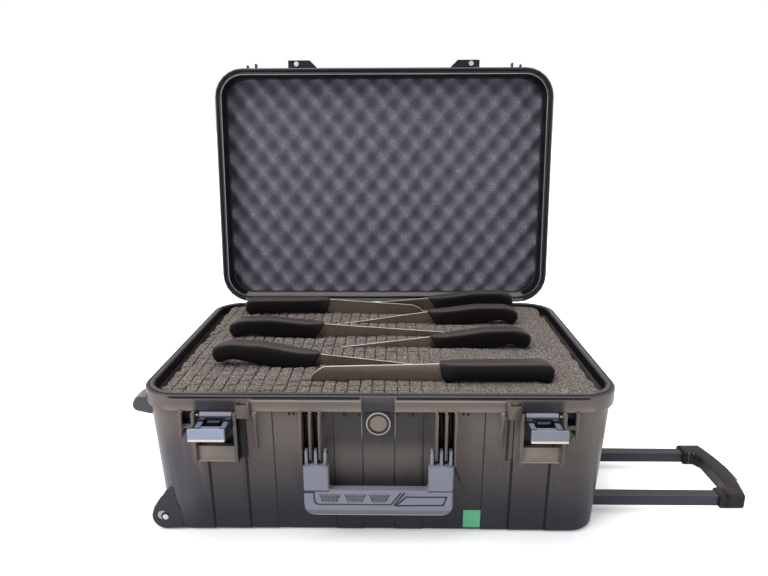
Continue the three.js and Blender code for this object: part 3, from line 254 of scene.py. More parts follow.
class Shader(Nodes):
    """A material's node tree with one glossy surface, on Object coordinates."""

    def __init__(self, name: str) -> None:
        """Makes the material with a Principled surface.

        Args:
            name: The material's name.
        """
        self.material = bpy.data.materials.new(name)
        self.material.use_nodes = True
        super().__init__(self.material.node_tree)
        self.tree.nodes.clear()
        self.surface = self.add("ShaderNodeBsdfPrincipled")
        self.add("ShaderNodeOutputMaterial", None, {"Surface": self.surface.outputs[0]})
        self.place = self.add("ShaderNodeTexCoord").outputs["Object"]
        self._axes: tuple[Signal, Signal, Signal] | None = None

    def coordinates(self, size: Point, shift: float) -> bpy.types.NodeSocket:
        """Object coordinates counted in steps of a size.

        Args:
            size: The step along each axis, in millimetres.
            shift: Moves the pattern, so that two patterns differ.

        Returns:
            The vector output.
        """
        scale = tuple(1 / (step * MM) for step in size)
        sockets = {"Vector": self.place, "Scale": scale, "Location": (shift,) * 3}
        return self.add("ShaderNodeMapping", None, sockets).outputs[0]

    def noise(
        self, size: float | Point, detail: float = 2.0, shift: float = 0.0
    ) -> Signal:
        """Cloudy noise from 0 to 1.

        Args:
            size: The size of a cloud in millimetres, or its size along each axis.
            detail: How many finer layers it has.
            shift: Moves the pattern.

        Returns:
            The noise.
        """
        steps = size if isinstance(size, tuple) else (size,) * 3
        sockets = {"Vector": self.coordinates(steps, shift), "Scale": 1.0, "Detail": detail}
        return self.signal("ShaderNodeTexNoise", None, sockets, "Fac")

    def cells(self, size: float, shift: float = 0.0) -> Signal:
        """Distance from the middle of the nearest random cell, in cells."""
        sockets = {"Vector": self.coordinates((size,) * 3, shift), "Scale": 1.0}
        return self.signal("ShaderNodeTexVoronoi", None, sockets, "Distance")

    def axes(self) -> tuple[Signal, Signal, Signal]:
        """The place along each axis, in millimetres, made once.

        Returns:
            The x, y and z.
        """
        if self._axes is None:
            node = self.add("ShaderNodeSeparateXYZ", None, {0: self.place})
            self._axes = tuple(Signal(self, output) * (1 / MM) for output in node.outputs)
        return self._axes

    def band(self, value: Signal, low: float, high: float, soft: float) -> Signal:
        """1 between two values and 0 outside, with soft ends."""
        return value.ramp(low - soft, low + soft) * value.ramp(high + soft, high - soft)

    def rim_distance(self, half_x: float, half_y: float, radius: float) -> Signal:
        """Distance outwards from a rectangle with round corners, in millimetres.

        Args:
            half_x: Half its width.
            half_y: Half its depth.
            radius: Radius of its corners.

        Returns:
            The distance, below 0 inside.
        """
        x, y, _ = self.axes()
        over_x = (x.math("ABSOLUTE") - (half_x - radius)).math("MAXIMUM", 0.0)
        over_y = (y.math("ABSOLUTE") - (half_y - radius)).math("MAXIMUM", 0.0)
        return (over_x * over_x + over_y * over_y).math("SQRT") - radius

    def upward(self) -> Signal:
        """1 on faces that look up and 0 on upright ones."""
        normal = self.add("ShaderNodeNewGeometry").outputs["Normal"]
        return self.signal("ShaderNodeSeparateXYZ", None, {0: normal}, 2).ramp(0.3, 0.8)

    def attribute(self, name: str) -> Signal:
        """A number that the mesh carries at its points."""
        return self.signal("ShaderNodeAttribute", {"attribute_name": name}, None, "Fac")

    def mix(
        self,
        share: Signal | float,
        first: Colour | bpy.types.NodeSocket,
        second: Colour | bpy.types.NodeSocket,
        blend: str = "MIX",
    ) -> bpy.types.NodeSocket:
        """Mixes two colours.

        Args:
            share: 0 for the first, 1 for the second.
            first: A colour or a link.
            second: A colour or a link.
            blend: The way of mixing.

        Returns:
            The mixed colour.
        """
        settings = {"data_type": "RGBA", "blend_type": blend}
        return self.add("ShaderNodeMix", settings, {0: share, 6: first, 7: second}).outputs[2]

    def tint(
        self, colour: Colour | bpy.types.NodeSocket, level: Signal
    ) -> bpy.types.NodeSocket:
        """Makes a colour lighter or darker by a level around 1."""
        split = self.add("ShaderNodeCombineXYZ", None, {0: level, 1: level, 2: level})
        return self.mix(1.0, colour, split.outputs[0], "MULTIPLY")

    def bump(
        self, height: Signal, depth: float, normal: bpy.types.NodeSocket | None = None
    ) -> bpy.types.NodeSocket:
        """Turns a height into a normal.

        Args:
            height: The height, 0 to 1.
            depth: How high 1 is, in millimetres.
            normal: The normal to start from.

        Returns:
            The bumped normal.
        """
        sockets = {"Height": height, "Distance": depth * MM, "Strength": 1.0}
        if normal is not None:
            sockets["Normal"] = normal
        return self.add("ShaderNodeBump", None, sockets).outputs[0]

    def rounded(self, radius: float) -> bpy.types.NodeSocket:
        """The normal with each sharp edge rounded by a radius in millimetres."""
        return self.add("ShaderNodeBevel", {"samples": 4}, {"Radius": radius * MM}).outputs[0]

    def edges(self, normal: bpy.types.NodeSocket) -> Signal:
        """1 along sharp edges and 0 on the faces, from a rounded normal.

        Args:
            normal: The rounded normal.

        Returns:
            The share, from 0 to 1.
        """
        flat = self.add("ShaderNodeNewGeometry").outputs["Normal"]
        settings = {"operation": "DOT_PRODUCT"}
        dot = self.signal("ShaderNodeVectorMath", settings, {0: normal, 1: flat}, "Value")
        return (1 - dot).ramp(0.02, 0.25)

    def finish(self, sockets: dict) -> bpy.types.Material:
        """Sets the surface's inputs and gives the material back."""
        self.fill(self.surface, sockets)
        return self.material


# Finishes


class LidHinge:
    """Turns shapes drawn with the lid shut into the open lid's place, and back."""

    pivot = Vector((0.0, 205.0, 178.4)) * MM
    angle = math.radians(94.3)

    @classmethod
    def opened(cls) -> Matrix:
        """The turn that opens the lid, in metres."""
        turn = Matrix.Rotation(-cls.angle, 4, "X")
        return Matrix.Translation(cls.pivot) @ turn @ Matrix.Translation(-cls.pivot)

    @classmethod
    def shut(cls, shader: Shader) -> None:
        """Takes a shader's places on the open lid back to those of the shut lid.

        Args:
            shader: The shader, whose places change.
        """
        back = Matrix.Rotation(cls.angle, 3, "X")
        sockets = {
            "Vector": shader.place, "Location": cls.pivot - back @ cls.pivot,
            "Rotation": (cls.angle, 0, 0),
        }
        shader.place = shader.add("ShaderNodeMapping", None, sockets).outputs[0]


class Finish:
    """A finish that builds its material once."""

    built: dict[str, bpy.types.Material] = {}
    name: str

    def paint(self, shader: Shader) -> bpy.types.Material:
        """Fills the shader's tree."""
        raise NotImplementedError

    def material(self) -> bpy.types.Material:
        """The finish's material, built on its first use.

        Returns:
            The material.
        """
        if self.name not in self.built:
            self.built[self.name] = self.paint(Shader(self.name))
        return self.built[self.name]


@dataclass(frozen=True)
class Mark:
    """A box in which a finish changes its colour, on one side or on both alike."""

    colour: Colour
    x: tuple[float, float] = (-1.0, 999.0)
    y: tuple[float, float] = (-999.0, 999.0)
    z: tuple[float, float] = (-999.0, 999.0)
    soft: float = 0.3
    fade: float = 0.3
    side: int = 0

    def share(self, shader: Shader) -> Signal:
        """Where the mark is, 0 to 1.

        Args:
            shader: The shader to add its nodes to.

        Returns:
            The share.
        """
        x, y, z = shader.axes()
        across = x * self.side if self.side else x.math("ABSOLUTE")
        wide = shader.band(across, *self.x, self.soft)
        return wide * shader.band(y, *self.y, self.soft) * shader.band(z, *self.z, self.fade)


@dataclass(frozen=True)
class RimMark:
    """A band that follows the rim, by its distance outwards from the inner wall."""

    colour: Colour
    distance: tuple[float, float]
    z: tuple[float, float] = (-999.0, 999.0)
    soft: float = 0.25
    half_x: float = 273.0
    half_y: float = 187.5
    radius: float = 37.0

    def share(self, shader: Shader) -> Signal:
        """Where the band is, 0 to 1.

        Args:
            shader: The shader to add its nodes to.

        Returns:
            The share.
        """
        away = shader.rim_distance(self.half_x, self.half_y, self.radius)
        height = shader.band(shader.axes()[2], *self.z, self.soft)
        return shader.band(away, *self.distance, self.soft) * height


@dataclass(frozen=True)
class DiscMark:
    """A ring round an axis along Y, by its distance from the middle in x and z."""

    colour: Colour
    middle: tuple[float, float]
    distance: tuple[float, float]
    soft: float = 0.25

    def share(self, shader: Shader) -> Signal:
        """Where the ring is, 0 to 1.

        Args:
            shader: The shader to add its nodes to.

        Returns:
            The share.
        """
        x, _, z = shader.axes()
        x, z = x - self.middle[0], z - self.middle[1]
        away = (x * x + z * z).math("SQRT")
        return shader.band(away, *self.distance, self.soft)


@dataclass(frozen=True)
class MouldedPlastic(Finish):
    """Moulded plastic: fine grain, clouds, scuffed edges with a painted highlight, painted light
    on faces that look up, and painted shade lower down.
    """

    name: str
    colour: Colour
    low_shade: Colour | None = None
    low_from: float = 130.0
    low_to: float = 60.0
    worn_highlight: Colour = srgb(150, 145, 140)
    wear_highlight: float = 0.35
    roughness: float = 0.42
    grain: float = 1.1
    grain_depth: float = 0.02
    cloud: float = 70.0
    scuff: Point = (3.0, 3.0, 60.0)
    rounding: float = 0.7
    metallic: float = 0.0
    specular: float = 0.5
    painted_top_light: Colour | None = None
    marks: tuple[Mark | RimMark | DiscMark, ...] = ()
    on_lid: bool = False

    def paint(self, shader: Shader) -> bpy.types.Material:
        """Builds the plastic.

        Args:
            shader: The shader to add its nodes to.

        Returns:
            The material.
        """
        if self.on_lid:
            LidHinge.shut(shader)
        clouds = shader.noise(self.cloud, 3, shift=3.1)
        fine = shader.noise(self.grain, shift=1.7)
        scuffs = shader.noise(self.scuff, 3, shift=9.4)
        colour = self.colour
        # Painted shade: the colour darkens towards the bottom
        if self.low_shade:
            low = (shader.axes()[2] + clouds * 30 - 15).ramp(self.low_to, self.low_from)
            colour = shader.mix(low, self.low_shade, self.colour)
        # Painted light: faces that look up are made lighter
        if self.painted_top_light:
            colour = shader.mix(shader.upward() * (clouds * 0.4 + 0.8), colour, self.painted_top_light)
        for mark in self.marks:
            colour = shader.mix(mark.share(shader), colour, mark.colour)
        colour = shader.tint(colour, clouds * 0.3 + fine * 0.12 + 0.79)
        normal = shader.rounded(self.rounding)
        # Scuffs along sharp edges, partly a painted highlight on them
        rubbed_highlight = shader.edges(normal) * (scuffs * 0.6 + 0.4) * self.wear_highlight
        colour = shader.mix(rubbed_highlight, colour, self.worn_highlight)
        return shader.finish({
            "Base Color": colour,
            "Roughness": (
                clouds * 0.12 + fine * 0.1 + (self.roughness - 0.11) - rubbed_highlight * 0.1
            ),
            "Metallic": self.metallic,
            "Specular IOR Level": self.specular,
            "Normal": shader.bump(fine, self.grain_depth, normal),
        })


@dataclass(frozen=True)
class OpenCellFoam(Finish):
    """Foam with open cells: light cell walls, dark pores, and painted shade that darkens deep
    places.
    """

    name: str
    colour: Colour
    pore: Colour
    light: Colour
    cell: float = 1.6
    cloud: float = 22.0
    depth: float = 0.5
    deep: Colour | None = None

    def paint(self, shader: Shader) -> bpy.types.Material:
        """Builds the foam.

        Args:
            shader: The shader to add its nodes to.

        Returns:
            The material.
        """
        cells = shader.cells(self.cell)
        crumbs = shader.noise(self.cell * 0.9, 3, shift=5.5)
        clouds = shader.noise(self.cloud, 3, shift=2.2)
        pores = (crumbs + cells * 0.55).ramp(0.62, 0.9)
        specks = crumbs.ramp(0.5, 0.3)
        colour = shader.tint(self.colour, clouds * 0.5 + 0.75)
        colour = shader.mix(pores * 0.75, colour, self.pore)
        colour = shader.mix(specks * 0.6, colour, self.light)
        # Painted shade in the deep places
        if self.deep:
            colour = shader.mix(shader.attribute("deep"), colour, self.deep)
        relief = 1 - cells * 0.5 - crumbs * 0.5
        return shader.finish({
            "Base Color": colour,
            "Roughness": crumbs * 0.1 + 0.88,
            "Specular IOR Level": 0.1,
            "Normal": shader.bump(relief, self.depth),
        })


@dataclass(frozen=True)
class GroundSteel(Finish):
    """Steel with fine grinding lines along one axis, and a painted highlight along a blade's
    spine.
    """

    name: str
    colour: Colour
    roughness: float = 0.32
    lines: Point = (0.5, 0.5, 40.0)
    stain: float = 35.0
    spine: Colour = srgb(240, 236, 228)

    def paint(self, shader: Shader) -> bpy.types.Material:
        """Builds the steel.

        Args:
            shader: The shader to add its nodes to.

        Returns:
            The material.
        """
        lines = shader.noise(self.lines, 3, shift=4.4)
        stains = shader.noise(self.stain, 3, shift=8.8)
        colour = shader.tint(self.colour, lines * 0.35 + stains * 0.3 + 0.68)
        # Painted highlight along the blade's ground spine
        colour = shader.mix(shader.attribute("spine"), colour, self.spine)
        return shader.finish({
            "Base Color": colour,
            "Roughness": lines * 0.15 + stains * 0.15 + (self.roughness - 0.12),
            "Metallic": 1.0,
            "Normal": shader.bump(lines, 0.01, shader.rounded(0.3)),
        })


# Painted shade for slots, gaps, grooves and bays
DEEP_SHADE = srgb(14, 13, 15)
SHADE = srgb(30, 28, 31)
# A painted highlight for a bright edge
EDGE_HIGHLIGHT = srgb(168, 162, 156)
PANEL_EDGES = (19.0, 53.0, 125.0, 158.8, 203.8)
FRONT_WALL = (-197.0, -150.0)

BODY = MouldedPlastic(
    # The second colour is painted shade towards the bottom
    "body_plastic", srgb(100, 92, 87), srgb(44, 43, 51), low_from=155, low_to=20,
    roughness=0.36, worn_highlight=srgb(165, 155, 145), wear_highlight=0.5, specular=0.15,
    marks=(
        # Painted shade on the panel between the handle's ribs, and a pale band of painted light
        # under the rim
        Mark(srgb(54, 51, 51), (-1, 67), FRONT_WALL, (118, 175), 3.0, 14.0),
        Mark(srgb(122, 112, 104), (19.6, 290), (-203, -196), (164, 174), 1.0, 4.0),
        # Painted shade along the panels' edges, front and back, and in the slots below the latches
        *(Mark(SHADE, (x - 0.7, x + 0.7), (-200, -180), (4, 167)) for x in PANEL_EDGES),
        Mark(DEEP_SHADE, (157.2, 160.4), (-200, -170), (4, 104)),
        Mark(DEEP_SHADE, (202.2, 205.4), (-200, -170), (4, 104)),
        # Soft painted shade on the front towards the left end
        Mark(srgb(74, 71, 78), (226, 276), (-200, -110), (24, 130), 14.0, 30.0, -1),
        *(Mark(SHADE, (x - 0.7, x + 0.7), (180, 200), (4, 167)) for x in PANEL_EDGES),
        # Painted shade in the gaps between the handle's ribs
        Mark(DEEP_SHADE, (69.6, 77.4), FRONT_WALL, (80, 167.5)),
        Mark(DEEP_SHADE, (80.6, 88.4), FRONT_WALL, (80, 167.5)),
        # Painted shade in and beside the bays of the latches, and painted light on the pale plates
        # below them, with a painted highlight along their lower edge
        Mark(DEEP_SHADE, (155.5, 169), (-206, -150), (104, 166.5), 0.6, 0.6, -1),
        Mark(SHADE, (150.8, 154), FRONT_WALL, (101, 166.5), 0.6, 0.6, 1),
        Mark(SHADE, (165, 168), (-206, -150), (101, 166.5), 0.6, 0.6, 1),
        Mark(DEEP_SHADE, (167.4, 212.2), (-195, -150), (125.5, 168), 0.6),
        Mark(DEEP_SHADE, (216.4, 229), (-199, -150), (140, 167), 0.6),
        Mark(srgb(124, 114, 106), (167.5, 209.5), (-203, -200.4), (106.5, 125.6)),
        Mark(EDGE_HIGHLIGHT, (167.5, 212), (-203, -200.4), (105, 106.9)),
        # Painted shade on the valve's plate, with a painted highlight along its edge
        Mark(srgb(50, 49, 54), (-1, 18.6), (-199.5, -150), (128, 184), 0.6, 10.0),
        Mark(srgb(120, 112, 106), (19.0, 20.2), (-202, -150), (132, 166), 0.3, 10.0),
        # Painted highlights on the rim band's edges, and painted shade in its slots, groove and
        # notches
        Mark(srgb(176, 164, 152), (19.6, 148), (-202, -197.8), (167.5, 169.2)),
        Mark(srgb(140, 130, 122), (19.6, 148), (-202, -197.8), (181.6, 183.4)),
        *(Mark(DEEP_SHADE, (x, x + 3), (-196, -150), (160.5, 164.5)) for x in (21, 39, 98, 103)),
        Mark(srgb(20, 18, 20), (21, 300), (-206, -197.5), (184.4, 187.0), 0.5),
        # Painted shade on the inner wall, the lips on top of the rim, and painted shade in the
        # groove between them
        RimMark(srgb(24, 24, 30), (-60, 0.7), (176, 187.8)),
        RimMark(srgb(80, 78, 83), (0.3, 4.4), (187.2, 195)),
        RimMark(DEEP_SHADE, (4.8, 8.4), (187.2, 195)),
        RimMark(srgb(72, 70, 77), (8.8, 12), (187.0, 195)),
        # Painted shade on the rim band behind the latches, and in the recess beside them
        Mark(srgb(40, 39, 50), (165, 213), (-202, -196), (165, 183), 4.0, 3.0),
        Mark(DEEP_SHADE, (151, 168), (-210, -200), (180.0, 182.6)),
    ),
)
VALVE = MouldedPlastic(
    "valve_plastic", srgb(128, 118, 110), roughness=0.42, worn_highlight=srgb(180, 170, 160),
    specular=0.3,
    marks=(
        DiscMark(srgb(160, 150, 141), (0, 153.2), (12.8, 20)),
        # Painted shade in the gap round the vent
        DiscMark(DEEP_SHADE, (0, 153.2), (9.9, 12.8)),
    ),
)
VENT = MouldedPlastic(
    "vent_plastic", srgb(122, 112, 104), roughness=0.45, worn_highlight=srgb(190, 180, 168), wear_highlight=0.8,
    specular=0.3,
)
LID = MouldedPlastic(
    "lid_plastic", srgb(28, 28, 34), roughness=0.42, worn_highlight=srgb(96, 96, 106), wear_highlight=0.4,
    specular=0.13, on_lid=True,
    marks=(
        Mark(srgb(66, 62, 61), z=(206, 262), fade=4.0),
        # Painted shade on the inner wall
        RimMark(srgb(18, 18, 22), (-60, 0.4), (180, 216)),
        # Painted highlights along the rim's edges
        RimMark(srgb(140, 138, 144), (0.2, 1.5), (186, 189.6)),
        RimMark(srgb(118, 118, 126), (9.4, 10.6), (186, 190.4)),
        # A lighter band along the back of the rim
        Mark(srgb(122, 117, 119), (-1, 245), (178, 260), (188.6, 214), 2.0, 1.0),
    ),
)
DARK = MouldedPlastic(
    "dark_plastic", srgb(36, 36, 44), roughness=0.42, worn_highlight=srgb(110, 110, 125),
    specular=0.3,
)
LATCH = MouldedPlastic(
    "latch_plastic", srgb(20, 20, 26), roughness=0.42, worn_highlight=srgb(96, 98, 112),
    specular=0.16,
    marks=(
        # Painted light on the top of the hook's bar, and painted shade on its face below
        Mark(srgb(140, 140, 152), (170, 207), (-205, -190), (164.2, 169)),
        Mark(srgb(84, 86, 104), (170, 207), (-205, -190), (161, 164.2)),
        # The lever's ribs in its grey, painted shade in its channel, and a painted highlight
        # across it
        Mark(srgb(100, 106, 128), (171, 180), (-226, -211), (160, 170)),
        Mark(srgb(100, 106, 128), (197, 206), (-226, -211), (160, 170)),
        Mark(srgb(70, 68, 88), (181.5, 195.5), (-217, -206), (160, 170)),
        Mark(srgb(150, 150, 170), (181.5, 195.5), (-219.5, -217), (160, 170)),
    ),
)
GREY = MouldedPlastic(
    "grey_plastic", srgb(122, 123, 135), roughness=0.48, worn_highlight=srgb(205, 200, 195),
    rounding=0.9, specular=0.18,
    marks=(
        Mark(srgb(100, 100, 112), z=(40.8, 46.5), y=(-209.5, -204), fade=1.5),
        Mark(srgb(160, 153, 137), z=(36, 41), y=(-209.5, -198), fade=0.8),
        # Painted light on the left latch's trigger
        Mark(srgb(140, 146, 170), (160, 215), (-246, -238), (155.4, 170), 0.3, 0.3, -1),
        # A pale strip low on both triggers
        Mark(srgb(214, 206, 192), (160, 215), (-246, -241), (150, 155.4)),
        # A painted shadow line along the top of the handle's face
        Mark(srgb(38, 38, 46), (58, 90), (-212, -206), (71.0, 72.4)),
    ),
)
PAD = MouldedPlastic(
    "grip_pad", srgb(118, 119, 130), roughness=0.6, worn_highlight=srgb(130, 130, 140),
    grain=0.8, grain_depth=0.06,
)
# Painted shade for the handle's grooves, and the colour of the pads' beds
GROOVE_SHADE_AND_PAD = MouldedPlastic(
    "groove_plastic", srgb(40, 40, 50), roughness=0.6, worn_highlight=srgb(60, 60, 70),
    specular=0.2,
)
RUBBER = MouldedPlastic(
    "seal_rubber", srgb(18, 18, 21), roughness=0.6, worn_highlight=srgb(40, 40, 45), grain=0.7,
)
FOOT = MouldedPlastic(
    "foot_plastic", srgb(70, 71, 76), roughness=0.55, worn_highlight=srgb(110, 110, 115),
    painted_top_light=srgb(118, 118, 124), specular=0.25,
)
TYRE = MouldedPlastic(
    "tyre_rubber", srgb(28, 28, 30), roughness=0.75, worn_highlight=srgb(60, 58, 58),
    grain=0.8, grain_depth=0.05,
)
TUBE = MouldedPlastic(
    "tube_paint", srgb(50, 50, 60), roughness=0.36, worn_highlight=srgb(190, 186, 184), wear_highlight=0.6,
    metallic=0.2, grain=0.7, grain_depth=0.008, rounding=0.9, specular=0.2,
    # Painted light on the tops of the tubes
    marks=(Mark(srgb(60, 54, 52), z=(25.2, 30)),),
)
GRIP = MouldedPlastic(
    "grip_plastic", srgb(30, 28, 30), roughness=0.45, worn_highlight=srgb(100, 96, 98),
    specular=0.12, painted_top_light=srgb(48, 42, 41),
    marks=(
        # Painted shade in the grip's slots
        Mark(DEEP_SHADE, (443.5, 448.5), (-150, -128), (0, 40)),
        Mark(DEEP_SHADE, (437, 439.5), (-34, 0), (0, 40)),
        # Painted highlights on the socket's ribs
        Mark(srgb(96, 104, 120), (444.5, 446.2), (-34, -24), (10, 28)),
        Mark(srgb(96, 104, 120), (451, 452.4), (-34, -24), (10, 28)),
    ),
)
KNIFE_GRIP = MouldedPlastic(
    "knife_grip", srgb(10, 8, 9), roughness=0.44, worn_highlight=srgb(60, 56, 52), wear_highlight=0.12,
    grain=0.6, grain_depth=0.025, specular=0.16, painted_top_light=srgb(66, 58, 57),
)
LABEL = MouldedPlastic(
    "label_film", srgb(84, 168, 120), roughness=0.35, worn_highlight=srgb(180, 220, 195),
    grain=4.0, grain_depth=0.004, rounding=0.3,
)
PALE_CRESCENT = MouldedPlastic(
    "pale_crescent", srgb(150, 160, 170), roughness=0.5, worn_highlight=srgb(190, 195, 200),
)
STEEL = GroundSteel("pin_steel", srgb(190, 185, 178), 0.3, (1.5, 1.5, 1.5))
BLADE = GroundSteel("blade_steel", srgb(144, 133, 123), 0.34)
PLUCK_FOAM = OpenCellFoam(
    "pluck_foam", srgb(124, 115, 110), srgb(66, 60, 56), srgb(178, 170, 163),
    cell=2.1, depth=0.8, deep=srgb(22, 19, 19),
)
EGG_FOAM = OpenCellFoam(
    "egg_foam", srgb(128, 126, 138), srgb(78, 77, 87), srgb(168, 166, 177),
    cell=1.5, depth=0.5, deep=srgb(78, 76, 86),
)


# Shapes


def add_object(name: str, data: bpy.types.ID) -> bpy.types.Object:
    """Makes an object of a mesh, a lamp or a camera, and puts it in the scene.

    Args:
        name: The object's name.
        data: Its mesh, lamp or camera.

    Returns:
        The object.
    """
    obj = bpy.data.objects.new(name, data)
    bpy.context.scene.collection.objects.link(obj)
    return obj


class Shape:
    """A mesh under construction, in millimetres."""

    def __init__(self) -> None:
        """Starts an empty mesh."""
        self.mesh = bmesh.new()

    def ring(self, points: Iterable[Point]) -> list[bmesh.types.BMVert]:
        """Adds points and gives their vertices."""
        return [self.mesh.verts.new(Vector(point) * MM) for point in points]

    def bridge(
        self, first: list[bmesh.types.BMVert], second: list[bmesh.types.BMVert]
    ) -> None:
        """Joins two rings of as many points with a band of faces.

        Args:
            first: A ring of vertices.
            second: The next ring.
        """
        count = len(first)
        for i in range(count):
            j = (i + 1) % count
            self.mesh.faces.new((first[i], first[j], second[j], second[i]))

    def loft(self, rings: Sequence[Sequence[Point]]) -> None:
        """Adds a closed body through rings of as many points.

        Args:
            rings: The rings, in order, each a loop of points.
        """
        loops = [self.ring(ring) for ring in rings]
        for first, second in zip(loops, loops[1:]):
            self.bridge(first, second)
        self.mesh.faces.new(loops[0])
        self.mesh.faces.new(list(reversed(loops[-1])))

    def object(self, name: str, angle: float = 32.0) -> bpy.types.Object:
        """Closes the mesh, turns it outwards and makes its object.

        Args:
            name: The object's name.
            angle: Edges sharper than this stay sharp, in degrees.

        Returns:
            The object, in the scene.
        """
        bmesh.ops.remove_doubles(self.mesh, verts=self.mesh.verts, dist=1e-6)
        bmesh.ops.dissolve_degenerate(self.mesh, edges=self.mesh.edges, dist=1e-7)
        bmesh.ops.recalc_face_normals(self.mesh, faces=self.mesh.faces)
        data = bpy.data.meshes.new(name)
        self.mesh.to_mesh(data)
        self.mesh.free()
        data.shade_smooth()
        data.set_sharp_from_angle(angle=math.radians(angle))
        return add_object(name, data)


def settle(
    obj: bpy.types.Object, body: str, slot: str, finish: Finish, *nodes: str
) -> bpy.types.Object:
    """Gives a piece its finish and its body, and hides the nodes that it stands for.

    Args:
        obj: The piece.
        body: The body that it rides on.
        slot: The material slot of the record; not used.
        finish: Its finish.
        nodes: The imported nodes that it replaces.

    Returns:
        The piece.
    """
    obj.data.materials.clear()
    obj.data.materials.append(finish.material())
    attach(obj, body)
    if nodes:
        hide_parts(*nodes)
    LOG.info("%s on %s: %d faces", obj.name, body, len(obj.data.polygons))
    return obj


@dataclass
class SmoothedSolid:
    """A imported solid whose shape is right, merged and shaded smoothly."""

    node: str
    finish: Finish
    angle: float = 32.0

    def build(self) -> bpy.types.Object:
        """Makes the merged copy that stands for the solid.

        Returns:
            The object.
        """
        source = frame["nodes"][self.node]
        slot = source.data.materials[0].name.split(".")[0]
        shape = Shape()
        shape.mesh.from_mesh(source.data)
        obj = shape.object(f"{self.node}_skin", self.angle)
        weights = obj.modifiers.new("face_weights", "WEIGHTED_NORMAL")
        weights.keep_sharp = True
        return settle(obj, source["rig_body"], slot, self.finish, self.node)


def repaint(node: str, finish: Finish) -> None:
    """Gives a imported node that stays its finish.

    Args:
        node: The node's name.
        finish: Its finish.
    """
    for slot in frame["nodes"][node].material_slots:
        slot.material = finish.material()
    LOG.info("%s repainted", node)


def round_rect(half_x: float, half_y: float, radius: float, y: float) -> float:
    """Half width of a rectangle with round corners, at a height.

    Args:
        half_x: Half its width.
        half_y: Half its height.
        radius: Radius of its corners.
        y: The height, from its middle.

    Returns:
        Half the width there.
    """
    past = max(0.0, abs(y) - (half_y - radius))
    return half_x - radius + math.sqrt(max(0.0, radius * radius - past * past))


@dataclass
class Sheet:
    """A slab whose top is a grid of points, clipped to a rectangle with round corners."""

    half_x: float
    half_y: float
    radius: float
    columns: list[float]
    rows: list[float]

    def build(
        self,
        name: str,
        top: Callable[[float, float], float],
        bottom: float,
        shrink: float = 0.0,
        angle: float = 45.0,
    ) -> bpy.types.Object:
        """Makes the slab.

        Args:
            name: The object's name.
            top: Height of the top at a point.
            bottom: Height of its flat underside.
            shrink: How much smaller the underside is on each side.
            angle: Edges sharper than this stay sharp.

        Returns:
            The object, in millimetre sizes stored as metres.
        """
        shape = Shape()
        lines = []
        for y in self.rows:
            y = max(-self.half_y, min(self.half_y, y))
            reach = round_rect(self.half_x, self.half_y, self.radius, y)
            xs = [max(-reach, min(reach, x)) for x in self.columns]
            lines.append(shape.ring([(x, y, top(x, y)) for x in xs]))
        for low, high in zip(lines, lines[1:]):
            for i in range(len(low) - 1):
                shape.mesh.faces.new((low[i], low[i + 1], high[i + 1], high[i]))
        self._close(shape, bottom, shrink)
        return shape.object(name, angle)

    @staticmethod
    def _close(shape: Shape, bottom: float, shrink: float) -> None:
        """Adds the sides and the flat underside.

        Args:
            shape: The slab, with its top made.
            bottom: Height of the underside.
            shrink: How much smaller the underside is on each side.
        """
        mesh = shape.mesh
        bmesh.ops.remove_doubles(mesh, verts=mesh.verts, dist=2e-5)
        bmesh.ops.dissolve_degenerate(mesh, edges=mesh.edges, dist=1e-6)
        rim = [edge for edge in mesh.edges if edge.is_boundary]
        grown = bmesh.ops.extrude_edge_only(mesh, edges=rim)["geom"]
        for vertex in (item for item in grown if isinstance(item, bmesh.types.BMVert)):
            x, y = vertex.co.x, vertex.co.y
            vertex.co = (
                x - math.copysign(shrink * MM, x),
                y - math.copysign(shrink * MM, y),
                bottom * MM,
            )
        low = [item for item in grown if isinstance(item, bmesh.types.BMEdge)]
        bmesh.ops.holes_fill(mesh, edges=low, sides=0)


def keep_number(
    obj: bpy.types.Object, name: str, value: Callable[[Vector], float]
) -> None:
    """Stores a number at each point of a mesh.

    Args:
        obj: The object.
        name: The attribute's name.
        value: The number for a point in millimetres.
    """
    layer = obj.data.attributes.new(name, "FLOAT", "POINT")
    numbers = [value(vertex.co / MM) for vertex in obj.data.vertices]
    layer.data.foreach_set("value", numbers)


